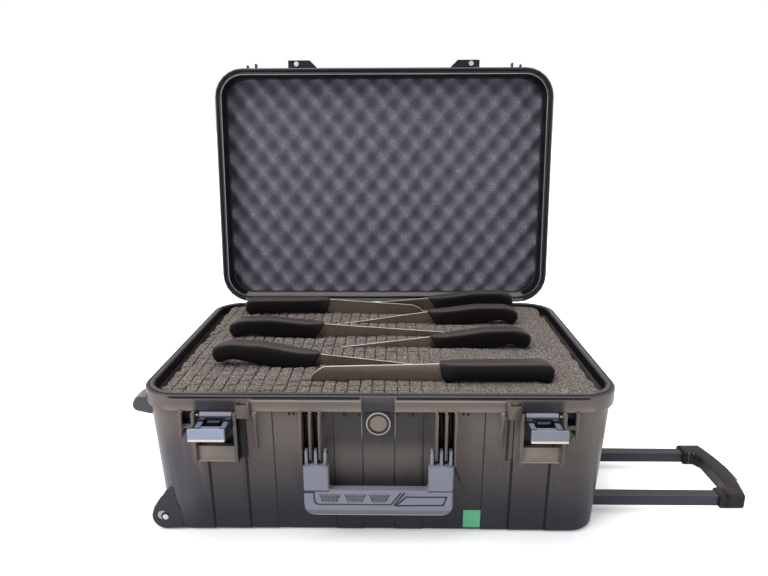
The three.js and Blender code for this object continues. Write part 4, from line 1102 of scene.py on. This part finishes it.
class GrowthTree(Nodes):
    """A Geometry Nodes tree that grows a piece from a base object."""

    def __init__(self, name: str, numbers: Sequence[str]) -> None:
        """Starts the tree.

        Args:
            name: The tree's name.
            numbers: Names of its inputs that are numbers.
        """
        super().__init__(bpy.data.node_groups.new(name, "GeometryNodeTree"))
        kinds = {"Geometry": "Geometry", **dict.fromkeys(numbers, "Float"), "Finish": "Material"}
        face = self.tree.interface
        for label, kind in kinds.items():
            face.new_socket(label, in_out="INPUT", socket_type=f"NodeSocket{kind}")
        face.new_socket("Geometry", in_out="OUTPUT", socket_type="NodeSocketGeometry")
        outputs = self.add("NodeGroupInput").outputs
        self.inputs = {label: Signal(self, outputs[label]) for label in kinds}

    def place(self) -> list[Signal]:
        """The points' x, y and z.

        Returns:
            The three values.
        """
        place = self.add("GeometryNodeInputPosition").outputs[0]
        split = self.add("ShaderNodeSeparateXYZ", None, {0: place})
        return [Signal(self, output) for output in split.outputs]

    def grow(
        self, base: bpy.types.Object, geometry: Signal, values: dict, name: str
    ) -> bpy.types.Object:
        """Ends the tree, runs it on an object and keeps the result as a plain mesh.

        Args:
            base: The object to start from, which is removed.
            geometry: What the tree has made.
            values: The tree's inputs by name.
            name: Name of the new object.

        Returns:
            The new object.
        """
        real = self.signal("GeometryNodeRealizeInstances", None, {0: geometry})
        sockets = {"Geometry": real, "Material": self.inputs["Finish"]}
        painted = self.signal("GeometryNodeSetMaterial", None, sockets)
        self.add("NodeGroupOutput", None, {0: painted})
        modifier = base.modifiers.new("nodes", "NODES")
        modifier.node_group = self.tree
        for item in self.tree.interface.items_tree:
            if item.in_out == "INPUT" and item.name in values:
                modifier[item.identifier] = values[item.name]
        base.update_tag()
        bpy.context.view_layer.update()
        seen = base.evaluated_get(bpy.context.evaluated_depsgraph_get())
        data = bpy.data.meshes.new_from_object(seen)
        data.name = name
        base.modifiers.remove(modifier)
        bpy.data.objects.remove(base)
        return add_object(name, data)


# Knives


class Grip(Enum):
    """The two moulded grips."""

    STRAIGHT = "straight"
    CURVED = "curved"


TOPS = {
    Grip.STRAIGHT: [(-140, -5), (-138, -1), (-130, 2), (-80, 1.6), (0, 0.6)],
    Grip.CURVED: [(-140, -2), (-134, 3), (-118, 7.5), (-74, 8), (-34, 3), (-22, 2), (0, 0.5)],
}
BELLIES = {
    Grip.STRAIGHT: [
        (-140, -20), (-137, -24.5), (-130, -25.5), (-118, -21.5), (-22, -21.5), (-12, -25),
        (-4, -25.5), (0, -20),
    ],
    Grip.CURVED: [
        (-140, -14), (-137, -20), (-129, -22.5), (-119, -17), (-110, -14.5), (-98, -17.5),
        (-64, -22), (-30, -24.5), (-8, -25.5), (0, -22),
    ],
}
SLANTS = {Grip.STRAIGHT: 2.0, Grip.CURVED: 6.5}
GRIP_LONG = 140.0


@dataclass
class Knife:
    """A kitchen knife: a moulded grip and a ground blade.

    Its own frame has the bolster at 0, the blade along +X and the spine at z 0.
    """

    number: int
    x: float
    y: float
    spine: float
    tilt: float
    length: float
    tall: float
    fall: float
    grip: Grip
    thick: float = 23.5
    stations: int = 44
    sides: int = 24
    squareness: float = 0.4
    blade_thick: float = 2.0
    blade_stations: int = 48
    tang: float = 10.0
    bevel: float = 2.0

    @property
    def way(self) -> int:
        """1 where the blade points along +X, and -1 where it points along -X."""
        return 1 if self.x < 0 else -1

    def place(self) -> Matrix:
        """The knife's place in the case, in millimetres.

        Returns:
            The place.
        """
        move = Matrix.Translation((self.x, self.y, self.spine))
        turn = Matrix.Rotation(0.0 if self.way > 0 else math.pi, 4, "Z")
        return move @ turn @ Matrix.Rotation(math.radians(self.tilt), 4, "Y")

    def _line(self, points: list[tuple[float, float]], x: float, reach: float = 5.0) -> float:
        """Height of a soft line through points, averaged over a short reach.

        Args:
            points: The line's places and heights.
            x: The place.
            reach: How far it averages to each side.

        Returns:
            The height.
        """
        places = [x + reach * (i - 3) / 3 for i in range(7)]
        xs, zs = zip(*points)
        return float(np.mean(np.interp(places, xs, zs)))

    def _section(self, x: float) -> list[Point]:
        """The grip's cross-section at a place along it.

        Args:
            x: The place.

        Returns:
            A ring of points.
        """
        top = self._line(TOPS[self.grip], x)
        belly = self._line(BELLIES[self.grip], x)
        butt = math.sqrt(max(0.0, 1 - max(0.0, (-132 - x) / 8) ** 2))
        nose = ease(x, -24, 0)
        end = ease(x, -3, 0) * 0.16
        middle = (top + belly) / 2
        half_z = (top - belly) / 2 * (0.45 + 0.55 * butt) * (1 - end)
        palm = 0.94 + 0.06 * ease(-x, 20, 60)
        half_y = self.thick / 2 * (0.35 + 0.65 * butt) * (1 - end) * palm
        points = []
        for i in range(self.sides):
            angle = 2 * math.pi * (i + 0.5) / self.sides
            across, up = math.cos(angle), math.sin(angle)
            y = math.copysign(abs(across) ** self.squareness, across) * half_y
            z = math.copysign(abs(up) ** self.squareness, up) * half_z
            slim = 1 - nose * 0.42 * ease(z / half_z, -0.3, 1.0)
            slant = SLANTS[self.grip] * nose * (z / half_z - 0.8)
            points.append((x + slant, y * slim, middle + z))
        return points

    def _blade_heights(self, x: float) -> tuple[float, float]:
        """Spine and edge heights of the blade at a place along it.

        Args:
            x: The place.

        Returns:
            The height of the spine and of the edge.
        """
        curved = self.grip is Grip.CURVED
        turn = 0.8 if curved else 0.86
        tip = self.fall + 0.25 * (self.tall - self.fall) if curved else 0.8 * self.tall
        knee = self.fall + 0.3 * (tip - self.fall)
        spine = [
            (0, -2), (turn * self.length, -self.fall),
            ((1 + turn) / 2 * self.length, -knee), (self.length, -tip),
        ]
        edge = [
            (0, -0.62 * self.tall), (6, -self.tall), (0.6 * self.length, -self.tall),
            (0.87 * self.length, -0.93 * self.tall), (self.length, -tip),
        ]
        high = float(np.interp(x, *zip(*spine)))
        low = float(np.interp(x, *zip(*edge)))
        return high, min(low, high - 0.3)

    def _blade_section(self, x: float) -> list[Point]:
        """The blade's cross-section: flat spine, wedge faces and a fine edge.

        Args:
            x: The place along the blade.

        Returns:
            A ring of points.
        """
        high, low = self._blade_heights(x)
        half = self.blade_thick / 2
        bevel = low + min(self.bevel, 0.3 * (high - low))
        wedge = [(-half, high - 0.15), (-half, high - 1.0), (-half * 0.35, bevel), (-0.12, low)]
        left = [(-half + 0.15, high), *wedge]
        right = [(-y, z) for y, z in reversed(left)]
        return [(x, y, z) for y, z in [*left, *right]]

    def build(self) -> None:
        """Makes the grip and the blade."""
        stations, steps = self.stations, self.blade_stations
        places = [
            -GRIP_LONG * (1 - math.cos(math.pi * i / stations)) / 2 for i in range(stations + 1)
        ]
        grip = self._piece("grip", [self._section(x) for x in places], 50)
        settle(grip, self.body, "knife_grip", KNIFE_GRIP, f"{self.body}_handle")
        places = [self.length * i / steps - self.tang * (1 - i / steps) for i in range(steps + 1)]
        blade = self._piece("ground_blade", [self._blade_section(x) for x in places], 12)
        keep_number(blade, "spine", self._near_spine)
        settle(blade, self.body, "blade", BLADE, f"{self.body}_blade")

    @property
    def body(self) -> str:
        """The knife's body."""
        return f"knife_{self.number}"

    def _piece(self, name: str, rings: list[list[Point]], angle: float) -> bpy.types.Object:
        """A lofted piece in its place in the case.

        Args:
            name: What it is.
            rings: Its cross-sections, in the knife's own frame.
            angle: Edges sharper than this stay sharp, in degrees.

        Returns:
            The object.
        """
        shape = Shape()
        shape.loft(rings)
        place = Matrix.Scale(MM, 4) @ self.place() @ Matrix.Scale(1 / MM, 4)
        bmesh.ops.transform(shape.mesh, matrix=place, verts=shape.mesh.verts)
        return shape.object(f"{self.body}_{name}", angle)

    def _near_spine(self, point: Vector) -> float:
        """1 on the ground top of the blade, where a highlight is painted, and 0 below it.

        Args:
            point: A point in the case, in millimetres.

        Returns:
            The share, from 0 to 1.
        """
        own = self.place().inverted() @ point
        high, _ = self._blade_heights(own.x)
        return 1 - ease(high - own.z, 0.1, 0.9)

    def underside(self, x: float) -> float | None:
        """Height of the grip's underside at a case x, or None past its ends.

        Args:
            x: The place in the case.

        Returns:
            The height, or None.
        """
        own = (x - self.x) * self.way
        if not 0.5 - GRIP_LONG < own < 0:
            return None
        belly = self._line(BELLIES[self.grip], own)
        return self.spine + belly - own * math.sin(math.radians(self.tilt))

    def blade_reach(self) -> tuple[float, float]:
        """Lowest and highest case x of the blade."""
        far = self.x + self.way * self.length
        return min(self.x, far), max(self.x, far)


KNIVES = [
    Knife(1, -89, 147.5, 210, -1, 160, 38, 14, Grip.STRAIGHT),
    Knife(2, 77, 167.5, 207, 1.5, 150, 32, 10, Grip.CURVED),
    Knife(3, -86, 29, 205, 0, 215, 36, 14, Grip.CURVED),
    Knife(4, 72, 93.5, 205, 0.5, 150, 32, 19, Grip.CURVED),
    Knife(5, -79, -88, 201, 4.2, 160, 30, 7, Grip.CURVED),
    Knife(6, 70, -17, 201, 2, 165, 32, 14, Grip.CURVED),
    Knife(7, 74, -140, 208, 0, 166, 42, 6, Grip.STRAIGHT),
]


# Foams


@dataclass
class PluckFoam:
    """The base's foam: rows of cubes, slits for the blades and beds for the grips."""

    half_x: float = 262.8
    half_y: float = 186.4
    radius: float = 26.0
    top: float = 184.0
    split: float = 120.4
    bottom: float = 48.0
    pitch: float = 15.0
    cut_depth: float = 3.2
    cut_width: float = 0.9
    slit: float = 1.6
    slit_depth: float = 24.0
    bed: float = 12.6
    swell: float = 1.2
    swell_end: float = 18.0
    unevenness: float = 0.8
    lean: float = 1.6
    torn: float = 5.0
    torn_wave: float = 1.6
    lower_half_x: float = 258.0
    lower_half_y: float = 178.0
    lower_top: float = 119.9
    seed: int = 11
    knives: list[Knife] = field(default_factory=lambda: KNIVES)

    def _cell(self, x: float, y: float) -> tuple[int, int]:
        """The cube that a point is on."""
        column = math.floor((x + self.half_x) / self.pitch)
        return column, math.floor((y + self.half_y) / self.pitch)

    def _lines(self, start: float, end: float, extra: list[float]) -> list[float]:
        """Grid lines close together at each cut and at the places named.

        Args:
            start: The first line.
            end: The last line.
            extra: Other places to have a line at.

        Returns:
            The lines, in order.
        """
        half = self.cut_width
        lines = {start, end, *extra}
        for i in range(int((end - start) / self.pitch) + 2):
            cut = start + i * self.pitch
            lines |= {cut - half, cut - 0.05, cut + 0.05, cut + half}
            lines |= {cut + self.pitch * share for share in (0.3, 0.5, 0.7)}
        ordered = sorted(line for line in lines if start <= line <= end)
        kept = [ordered[0]]
        for line in ordered[1:]:
            if line - kept[-1] > 0.09:
                kept.append(line)
        return kept

    def _surface(self, x: float, y: float) -> float:
        """Height of the foam's top.

        Args:
            x: A place.
            y: A place.

        Returns:
            The height there.
        """
        column, row = key = self._cell(x, y)
        if key not in self.tilts:
            spread = 1 - 0.7 * ease(x, -120, 150)
            self.tilts[key] = [self.random.uniform(-1, 1) * spread for _ in range(3)]
        lift, lean_x, lean_y = self.tilts[key]
        across = (x + self.half_x) / self.pitch - column - 0.5
        along = (y + self.half_y) / self.pitch - row - 0.5
        lean = lean_x * across + lean_y * along
        height = self.top + lift * self.unevenness + lean * self.lean
        edge = (0.5 - max(abs(across), abs(along))) * self.pitch
        strength = 1 - 0.8 * ease(x, -60, 160)
        height -= self.cut_depth * strength * (1 - ease(edge, 0, self.cut_width))
        height -= 0.6 * strength * (1 - ease(edge, 0.5, 4))
        height += 0.9 * math.sin(x / 31 + 1.3) * math.sin(y / 27)
        return self._cut(x, y, height)

    def _cut(self, x: float, y: float, height: float) -> float:
        """Lowers the top for the knives' slits and beds.

        Args:
            x: A place.
            y: A place.
            height: The height of the foam without knives.

        Returns:
            The height there.
        """
        for knife in self.knives:
            off = abs(y - knife.y)
            low, high = knife.blade_reach()
            if off < self.slit + 0.1 and low - 3 < x < high + 3:
                height = min(height, self.top - self.slit_depth)
            under = knife.underside(x)
            if under is None:
                continue
            if off < self.bed:
                height = min(height, under - 0.4)
            elif off < self.swell_end and under < self.top:
                height += self.swell * (1 - ease(off, self.bed, self.swell_end))
        return height

    def _ragged(self, obj: bpy.types.Object) -> None:
        """Moves the ends of each row of cubes in or out a little, as torn foam lies.

        Args:
            obj: The foam.
        """
        shifts: dict[tuple[bool, int], float] = {}
        for vertex in obj.data.vertices:
            x, y = vertex.co.x / MM, vertex.co.y / MM
            side = x > 0
            row = math.floor((y + self.half_y) / (self.pitch * (1.6 if side else 1.0)))
            shift = shifts.setdefault((side, row), self.random.uniform(0, 1))
            near = ease(abs(x), self.half_x - 9, self.half_x - 0.5)
            lean = ease(abs(y), self.half_y - 12, self.half_y - 30)
            wave = 0.5 + 0.5 * math.sin(y / 5.3 + 2 * shift)
            inwards = (shift * self.torn + wave * self.torn_wave) * near * lean
            vertex.co.x -= math.copysign(inwards * MM, x)

    def build(self) -> None:
        """Makes the foam as an upper and a lower layer."""
        self.random = random.Random(self.seed)
        self.tilts: dict[tuple[int, int], list[float]] = {}
        extra_x, extra_y = [], []
        for knife in self.knives:
            ends = [*knife.blade_reach(), knife.x - knife.way * GRIP_LONG]
            extra_x += [end + shift for end in ends for shift in (-3, -0.2, 0.2, 3)]
            for half in (self.slit, self.slit + 0.25, self.bed - 0.1, self.bed + 0.3):
                extra_y += [knife.y - half, knife.y + half]
        sheet = Sheet(
            self.half_x, self.half_y, self.radius,
            self._lines(-self.half_x, self.half_x, extra_x),
            self._lines(-self.half_y, self.half_y, extra_y),
        )
        upper = sheet.build("pluck_foam_top", self._surface, self.split, 2.0)
        self._ragged(upper)
        self._settle(upper, "base_foam_upper")
        reach = self.lower_half_y
        rows = [reach * (i / 20 - 1) for i in range(41)]
        columns = [-self.lower_half_x, self.lower_half_x]
        sheet = Sheet(self.lower_half_x, reach, 30.0, columns, rows)
        lower = sheet.build("pluck_foam_base", lambda x, y: self.lower_top, self.bottom, 3.0)
        self._settle(lower, "base_foam_lower")

    def _settle(self, obj: bpy.types.Object, node: str) -> None:
        """Marks the deep places, which get painted shade, and gives the layer its finish.

        Args:
            obj: The layer.
            node: The solid that it stands for.
        """
        low, high = self.top - 15, self.top - 2.5
        keep_number(obj, "deep", lambda point: 1 - ease(point.z, low, high))
        settle(obj, "base", "pluck_foam", PLUCK_FOAM, node)


@dataclass
class EggFoam:
    """The lid's convoluted foam, whose bumps run together along one diagonal."""

    half_x: float = 270.8
    half_y: float = 184.8
    radius: float = 36.0
    peak: float = 219.2
    back: float = 235.8
    pitch_x: float = 19.3
    pitch_y: float = 24.0
    valley: float = 11.5
    step: float = 2.8
    ridge: float = 0.57
    ridge_slope: float = -0.55

    def _lines(self, half: float) -> list[float]:
        """Even grid lines across the foam."""
        count = round(2 * half / self.step)
        return [-half + 2 * half * i / count for i in range(count + 1)]

    def _raise(self, tree: GrowthTree) -> Signal:
        """Raises the bumps on the flat side of a slab, and keeps how deep each point is, for
        painted shade in the valleys.

        Args:
            tree: The tree to fill.

        Returns:
            The raised slab.
        """
        x, y, z = tree.place()
        across = x * (math.pi / tree.inputs["Pitch X"])
        upward = y * (math.pi / tree.inputs["Pitch Y"])
        ridge = x.math("MULTIPLY_ADD", self.ridge_slope, self.ridge)
        along = (across - upward).math("COSINE") * ridge
        against = (across + upward).math("COSINE") * (1 - ridge)
        depth = (along + against).math("MULTIPLY_ADD", -0.5, 0.5)
        limit = {0: z, 1: tree.inputs["Face Height"]}
        on_face = tree.signal("FunctionNodeCompare", {"operation": "LESS_THAN"}, limit)
        settings = {"data_type": "FLOAT", "domain": "POINT"}
        sockets = {"Geometry": tree.inputs["Geometry"], "Name": "deep", "Value": depth * on_face}
        stored = tree.signal("GeometryNodeStoreNamedAttribute", settings, sockets)
        rise = tree.signal("ShaderNodeCombineXYZ", None, {2: depth * tree.inputs["Valley"]})
        sockets = {"Geometry": stored, "Selection": on_face, "Offset": rise}
        return tree.signal("GeometryNodeSetPosition", None, sockets)

    def build(self) -> None:
        """Makes the foam, closed with the lid, and turns it open."""
        columns, rows = self._lines(self.half_x), self._lines(self.half_y)
        sheet = Sheet(self.half_x, self.half_y, self.radius, columns, rows)
        slab = sheet.build("egg_foam_slab", lambda x, y: self.peak, self.back, 3.0)
        values = {
            "Pitch X": self.pitch_x * MM, "Pitch Y": self.pitch_y * MM,
            "Valley": self.valley * MM, "Face Height": (self.peak + 1) * MM,
        }
        tree = GrowthTree("egg_crate", list(values))
        values["Finish"] = EGG_FOAM.material()
        obj = tree.grow(slab, self._raise(tree), values, "egg_foam_pad")
        obj.data.transform(LidHinge.opened())
        settle(obj, "lid", "egg_foam", EGG_FOAM, "lid_foam")


# Carry handle


@dataclass
class HandleFace:
    """The inlaid front of the carry handle: a plate, textured pads and grooves in painted shade.
    """

    front: float = -208.9
    back: float = -206.8
    edge: float = 0.25
    groove_half: float = 0.75
    groove_end: float = 0.5
    stud: float = 1.0
    stud_height: float = 0.5
    pitch: float = 2.3

    PLATE = [(-75.6, 69.4), (25.4, 69.4), (14.4, 54.8), (-71.0, 54.8), (-74.6, 58.0)]
    PADS = [
        [(-70.1, 67.8), (-44.4, 67.8), (-48.6, 57.4), (-66.9, 57.4)],
        [(-40.6, 67.8), (-14.1, 67.8), (-18.8, 57.4), (-36.4, 57.4)],
        [(-11.6, 67.8), (14.2, 67.8), (8.8, 57.4), (-7.6, 57.4)],
    ]
    GROOVES = [
        [(-87.6, 69.9), (-76.0, 69.9), (-76.0, 61.0), (-74.9, 57.3), (-71.4, 54.5),
         (14.6, 54.5), (26.0, 69.6)],
        [(32.4, 64.6), (80.4, 64.6), (76.2, 53.8), (20.6, 52.9), (32.4, 64.6)],
        [(30.4, 69.6), (18.6, 53.9)],
    ]

    def _slab(self, outline: Outline, proud: float = 0.0) -> Shape:
        """A flat plate with a given outline in x and z, proud of the face or level with it.

        Args:
            outline: Its corners.
            proud: How far it stands out of the face.

        Returns:
            The plate.
        """
        shape = Shape()
        front = self.front - proud
        inner = [(x, front, z) for x, z in self._shrunk(outline, self.edge)]
        edge = [(x, front + self.edge, z) for x, z in outline]
        shape.loft([inner, edge, [(x, self.back, z) for x, z in outline]])
        return shape

    @staticmethod
    def _shrunk(outline: Outline, by: float) -> Outline:
        """An outline with its corners moved towards its middle.

        Args:
            outline: The corners.
            by: How far each one moves along x and z.

        Returns:
            The new corners.
        """
        middle_x = sum(x for x, _ in outline) / len(outline)
        middle_z = sum(z for _, z in outline) / len(outline)
        return [
            (x - math.copysign(by, x - middle_x), z - math.copysign(by, z - middle_z))
            for x, z in outline
        ]

    def _groove(self, path: Outline) -> list[Shape]:
        """Strips of painted shade along a path, one for each straight length.

        Args:
            path: The path's points in x and z.

        Returns:
            The strips.
        """
        strips = []
        for (x0, z0), (x1, z1) in zip(path, path[1:]):
            long = math.hypot(x1 - x0, z1 - z0)
            ux, uz = (x1 - x0) / long, (z1 - z0) / long
            nx, nz = -uz * self.groove_half, ux * self.groove_half
            ex, ez = ux * self.groove_end, uz * self.groove_end
            start, end = (x0 - ex, z0 - ez), (x1 + ex, z1 + ez)
            outline = [
                (x + side * nx, z + side * nz)
                for (x, z), side in ((start, 1), (end, 1), (end, -1), (start, -1))
            ]
            strips.append(self._slab(outline, 0.2))
        return strips

    def _studs(self) -> bpy.types.Object:
        """Low six-sided studs on the pads.

        Returns:
            The studs, as one object.
        """
        tree = GrowthTree("pad_studs", ("Radius", "Height"))
        radius = tree.inputs["Radius"]
        sockets = {
            "Vertices": 6, "Radius Bottom": radius, "Radius Top": radius * 0.8,
            "Depth": tree.inputs["Height"],
        }
        stud = tree.signal("GeometryNodeMeshCone", {"fill_type": "NGON"}, sockets)
        sockets = {
            "Points": tree.inputs["Geometry"], "Instance": stud,
            "Rotation": (math.pi / 2, 0.0, 0.0),
        }
        placed = tree.signal("GeometryNodeInstanceOnPoints", None, sockets)
        values = {
            "Radius": self.stud * MM, "Height": self.stud_height * MM,
            "Finish": PAD.material(),
        }
        return tree.grow(self._stud_points(), placed, values, "handle_pad_studs")

    def _stud_points(self) -> bpy.types.Object:
        """Loose points on a close grid over the pads.

        Returns:
            The points, as one object.
        """
        points = []
        step, margin = self.pitch * 0.87, 1.6
        for (left, top), (right, _), (low_right, low), (low_left, _) in self.PADS:
            for row in range(int((top - low - margin) / step) + 1):
                z = low + 1.2 + row * step
                share = (z - low) / (top - low)
                start = low_left + (left - low_left) * share + margin
                end = low_right + (right - low_right) * share - margin
                count = int((end - start) / self.pitch) + 1
                shift = (end - start - (count - 1) * self.pitch) / 2
                points += [
                    (start + shift + i * self.pitch, self.front - 0.1, z) for i in range(count)
                ]
        data = bpy.data.meshes.new("stud_points")
        data.from_pydata([Vector(point) * MM for point in points], [], [])
        return add_object("stud_points", data)

    def build(self) -> None:
        """Makes the plate, the pads, their studs and the grooves."""
        plate = self._slab(self.PLATE).object("handle_plate")
        self._settle(plate, GREY, "handle_pad")
        for index, pad in enumerate(self.PADS, 1):
            self._settle(self._slab(pad, 0.05).object(f"handle_pad_bed_{index}"), GROOVE_SHADE_AND_PAD)
        self._settle(self._studs(), PAD)
        strips = [strip for path in self.GROOVES for strip in self._groove(path)]
        for index, strip in enumerate(strips, 1):
            self._settle(strip.object(f"handle_groove_{index}"), GROOVE_SHADE_AND_PAD)

    @staticmethod
    def _settle(obj: bpy.types.Object, finish: Finish, *nodes: str) -> None:
        """Gives a piece of the handle's face its finish."""
        settle(obj, "carry_handle", "grey_soft", finish, *nodes)


@dataclass
class WheelCheek:
    """The pale crescent on the outer face of a wheel's cheek."""

    end: str
    sign: int
    x: float = -265.0
    z: float = 19.0
    outer: float = 10.5
    inner: float = 6.2
    start: float = 100.0
    sweep: float = 120.0
    steps: int = 14

    def build(self) -> None:
        """Makes the crescent."""
        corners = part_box(f"wheel_housing_{self.end}")
        face = (min if self.sign < 0 else max)(corner[1] / MM for corner in corners)
        outer, inner = [], []
        for i in range(self.steps + 1):
            angle = math.radians(self.start + self.sweep * i / self.steps)
            thick = math.sin(math.pi * (0.5 + i) / (self.steps + 1))
            reach = self.inner + (self.outer - self.inner) * thick
            for line, radius in ((outer, reach), (inner, self.inner)):
                line.append((self.x + radius * math.cos(angle), self.z + radius * math.sin(angle)))
        outline = outer + inner[::-1]
        shape = Shape()
        shape.loft([
            [(x, face + past * self.sign, z) for x, z in outline] for past in (0.15, -1.0)
        ])
        settle(shape.object(f"wheel_crescent_{self.end}"), "base", "grey", PALE_CRESCENT)


# The stage


@dataclass(frozen=True)
class Lamp:
    """A soft square lamp that points at a target: places in metres, power in watts."""

    name: str
    place: Point
    target: Point
    size: float
    power: float

    def build(self) -> None:
        """Makes the lamp."""
        data = bpy.data.lights.new(self.name, "AREA")
        data.size = self.size
        data.energy = self.power
        lamp = add_object(self.name, data)
        lamp.location = self.place
        way = Vector(self.target) - Vector(self.place)
        lamp.rotation_euler = way.to_track_quat("-Z", "Y").to_euler()


LAMPS = (
    Lamp("key_lamp", (-1.5, -1.5, 2.0), (0, 0, 0.15), 1.6, 46),
    Lamp("top_lamp", (-0.1, 0.3, 2.6), (0, 0, 0.1), 2.0, 32),
    Lamp("side_lamp", (2.0, -0.8, 1.2), (0, 0, 0.15), 1.4, 5),
)


@dataclass
class Studio:
    """A pale floor, soft lamps and the camera at the photograph's angle."""

    focal_pixels: float = 643.24
    width_pixels: float = 768.0
    camera_place: Point = (18.5, -881.15, 493.53)
    pitch: float = 14.53
    yaw: float = -0.96
    roll: float = -0.16
    sensor: float = 36.0
    floor_size: float = 60.0
    floor_height: float = -0.4
    footprint: Point = (284.0, 198.5, 48.0)
    shadow: tuple[float, float] = (-20.0, 150.0)
    ambient: float = 0.58

    def build(self) -> None:
        """Makes the floor, the lamps, the world and the camera."""
        self._floor()
        self._world()
        for lamp in LAMPS:
            lamp.build()
        self._camera()
        bpy.context.scene.view_settings.view_transform = "Standard"

    def _floor(self) -> None:
        """The floor: white, with the object's shadow kept."""
        half = self.floor_size / 2 / MM
        shape = Shape()
        corners = ((-half, -half), (half, -half), (half, half), (-half, half))
        shape.mesh.faces.new(shape.ring([(x, y, self.floor_height) for x, y in corners]))
        obj = shape.object("floor")
        shader = Shader("floor_paper")
        away = shader.rim_distance(*self.footprint).ramp(*self.shadow)
        fine = shader.noise(8)
        tone = shader.tint(srgb(246, 246, 248), fine * 0.01 + 0.995)
        glow = shader.background_ray() * (away * 0.75 + 0.2)
        glow_colour = shader.mix(glow, (0, 0, 0, 1), (1, 1, 1, 1))
        obj.data.materials.append(shader.finish({
            "Base Color": tone, "Roughness": fine * 0.1 + 0.85, "Specular IOR Level": 0.0,
            "Emission Color": glow_colour, "Emission Strength": 1.0,
        }))

    def _world(self) -> None:
        """White where it is seen, plain soft light elsewhere."""
        world = bpy.data.worlds.new("studio")
        bpy.context.scene.world = world
        world.use_nodes = True
        nodes = Nodes(world.node_tree)
        nodes.tree.nodes.clear()
        white = nodes.add("ShaderNodeBackground", None, {"Color": (1, 1, 1, 1)})
        sockets = {"Color": (0.97, 0.98, 1, 1), "Strength": self.ambient}
        soft = nodes.add("ShaderNodeBackground", None, sockets)
        sockets = {0: nodes.background_ray(), 1: soft.outputs[0], 2: white.outputs[0]}
        mixed = nodes.add("ShaderNodeMixShader", None, sockets)
        nodes.add("ShaderNodeOutputWorld", None, {0: mixed.outputs[0]})

    def _camera(self) -> None:
        """The camera, from the perspective that was found in the photograph."""
        pitch, yaw, roll = (math.radians(v) for v in (self.pitch, self.yaw, self.roll))
        ahead = Vector((
            math.sin(yaw) * math.cos(pitch), math.cos(yaw) * math.cos(pitch), -math.sin(pitch)
        ))
        right = ahead.cross(Vector((0, 0, 1))).normalized()
        up = right.cross(ahead)
        turned_right = right * math.cos(roll) + up * math.sin(roll)
        turned_up = turned_right.cross(ahead)
        data = bpy.data.cameras.new("photo_camera")
        data.sensor_width = self.sensor
        data.lens = self.focal_pixels / self.width_pixels * self.sensor
        data.clip_start = 0.01
        camera = add_object("photo_camera", data)
        axes = Matrix((turned_right, turned_up, -ahead)).transposed()
        camera.matrix_world = Matrix.Translation(Vector(self.camera_place) * MM) @ axes.to_4x4()
        bpy.context.scene.camera = camera


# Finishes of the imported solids

SIDES = ("left", "right")
ENDS = ("front", "rear")


def paired(ends: tuple[str, str], finishes: dict[str, Finish]) -> dict[str, Finish]:
    """The finishes of solids that come in pairs, by their full names."""
    return {f"{name}_{end}": finish for name, finish in finishes.items() for end in ends}


SMOOTHED = {
    "base_shell": BODY, "lid_shell": LID, "lid_gasket": RUBBER, "carry_handle": GREY,
    "valve_body": VALVE, "valve_vent": VENT, "trolley_grip": GRIP, "trolley_button": GREY,
    **paired(SIDES, {"latch_body": LATCH, "latch_trigger": GREY}),
    **paired(ENDS, {"wheel_housing": DARK, "wheel_hub": DARK, "wheel_tyre": TYRE}),
    **paired(ENDS, {"wheel_axle": STEEL}),
    **paired(SIDES, {"lug_screw": STEEL, "handle_pin": DARK, "hinge_pin": STEEL}),
    **paired(SIDES, {"latch_pin": STEEL, "trigger_pin": STEEL}),
}
REPAINTED = {
    "bottom_cover": BODY, "label": LABEL, **paired(SIDES, {"lid_lug": LID}),
    **paired(ENDS, {"stand_foot": FOOT, "trolley_guide": DARK, "trolley_tube": TUBE}),
}


def write_sizes() -> None:
    """Updates the view layer.
    """
    bpy.context.view_layer.update()


def main() -> None:
    """Builds each sub-assembly in order."""
    logging.basicConfig(level=logging.INFO, format="%(name)s: %(message)s")
    bpy.context.view_layer.update()
    Studio().build()
    for node, finish in SMOOTHED.items():
        SmoothedSolid(node, finish).build()
    for node, finish in REPAINTED.items():
        repaint(node, finish)
    PluckFoam().build()
    EggFoam().build()
    for knife in KNIVES:
        knife.build()
    HandleFace().build()
    for end, sign in zip(ENDS, (-1, 1)):
        WheelCheek(end, sign).build()
    write_sizes()


if __name__ == "__main__":
    main()
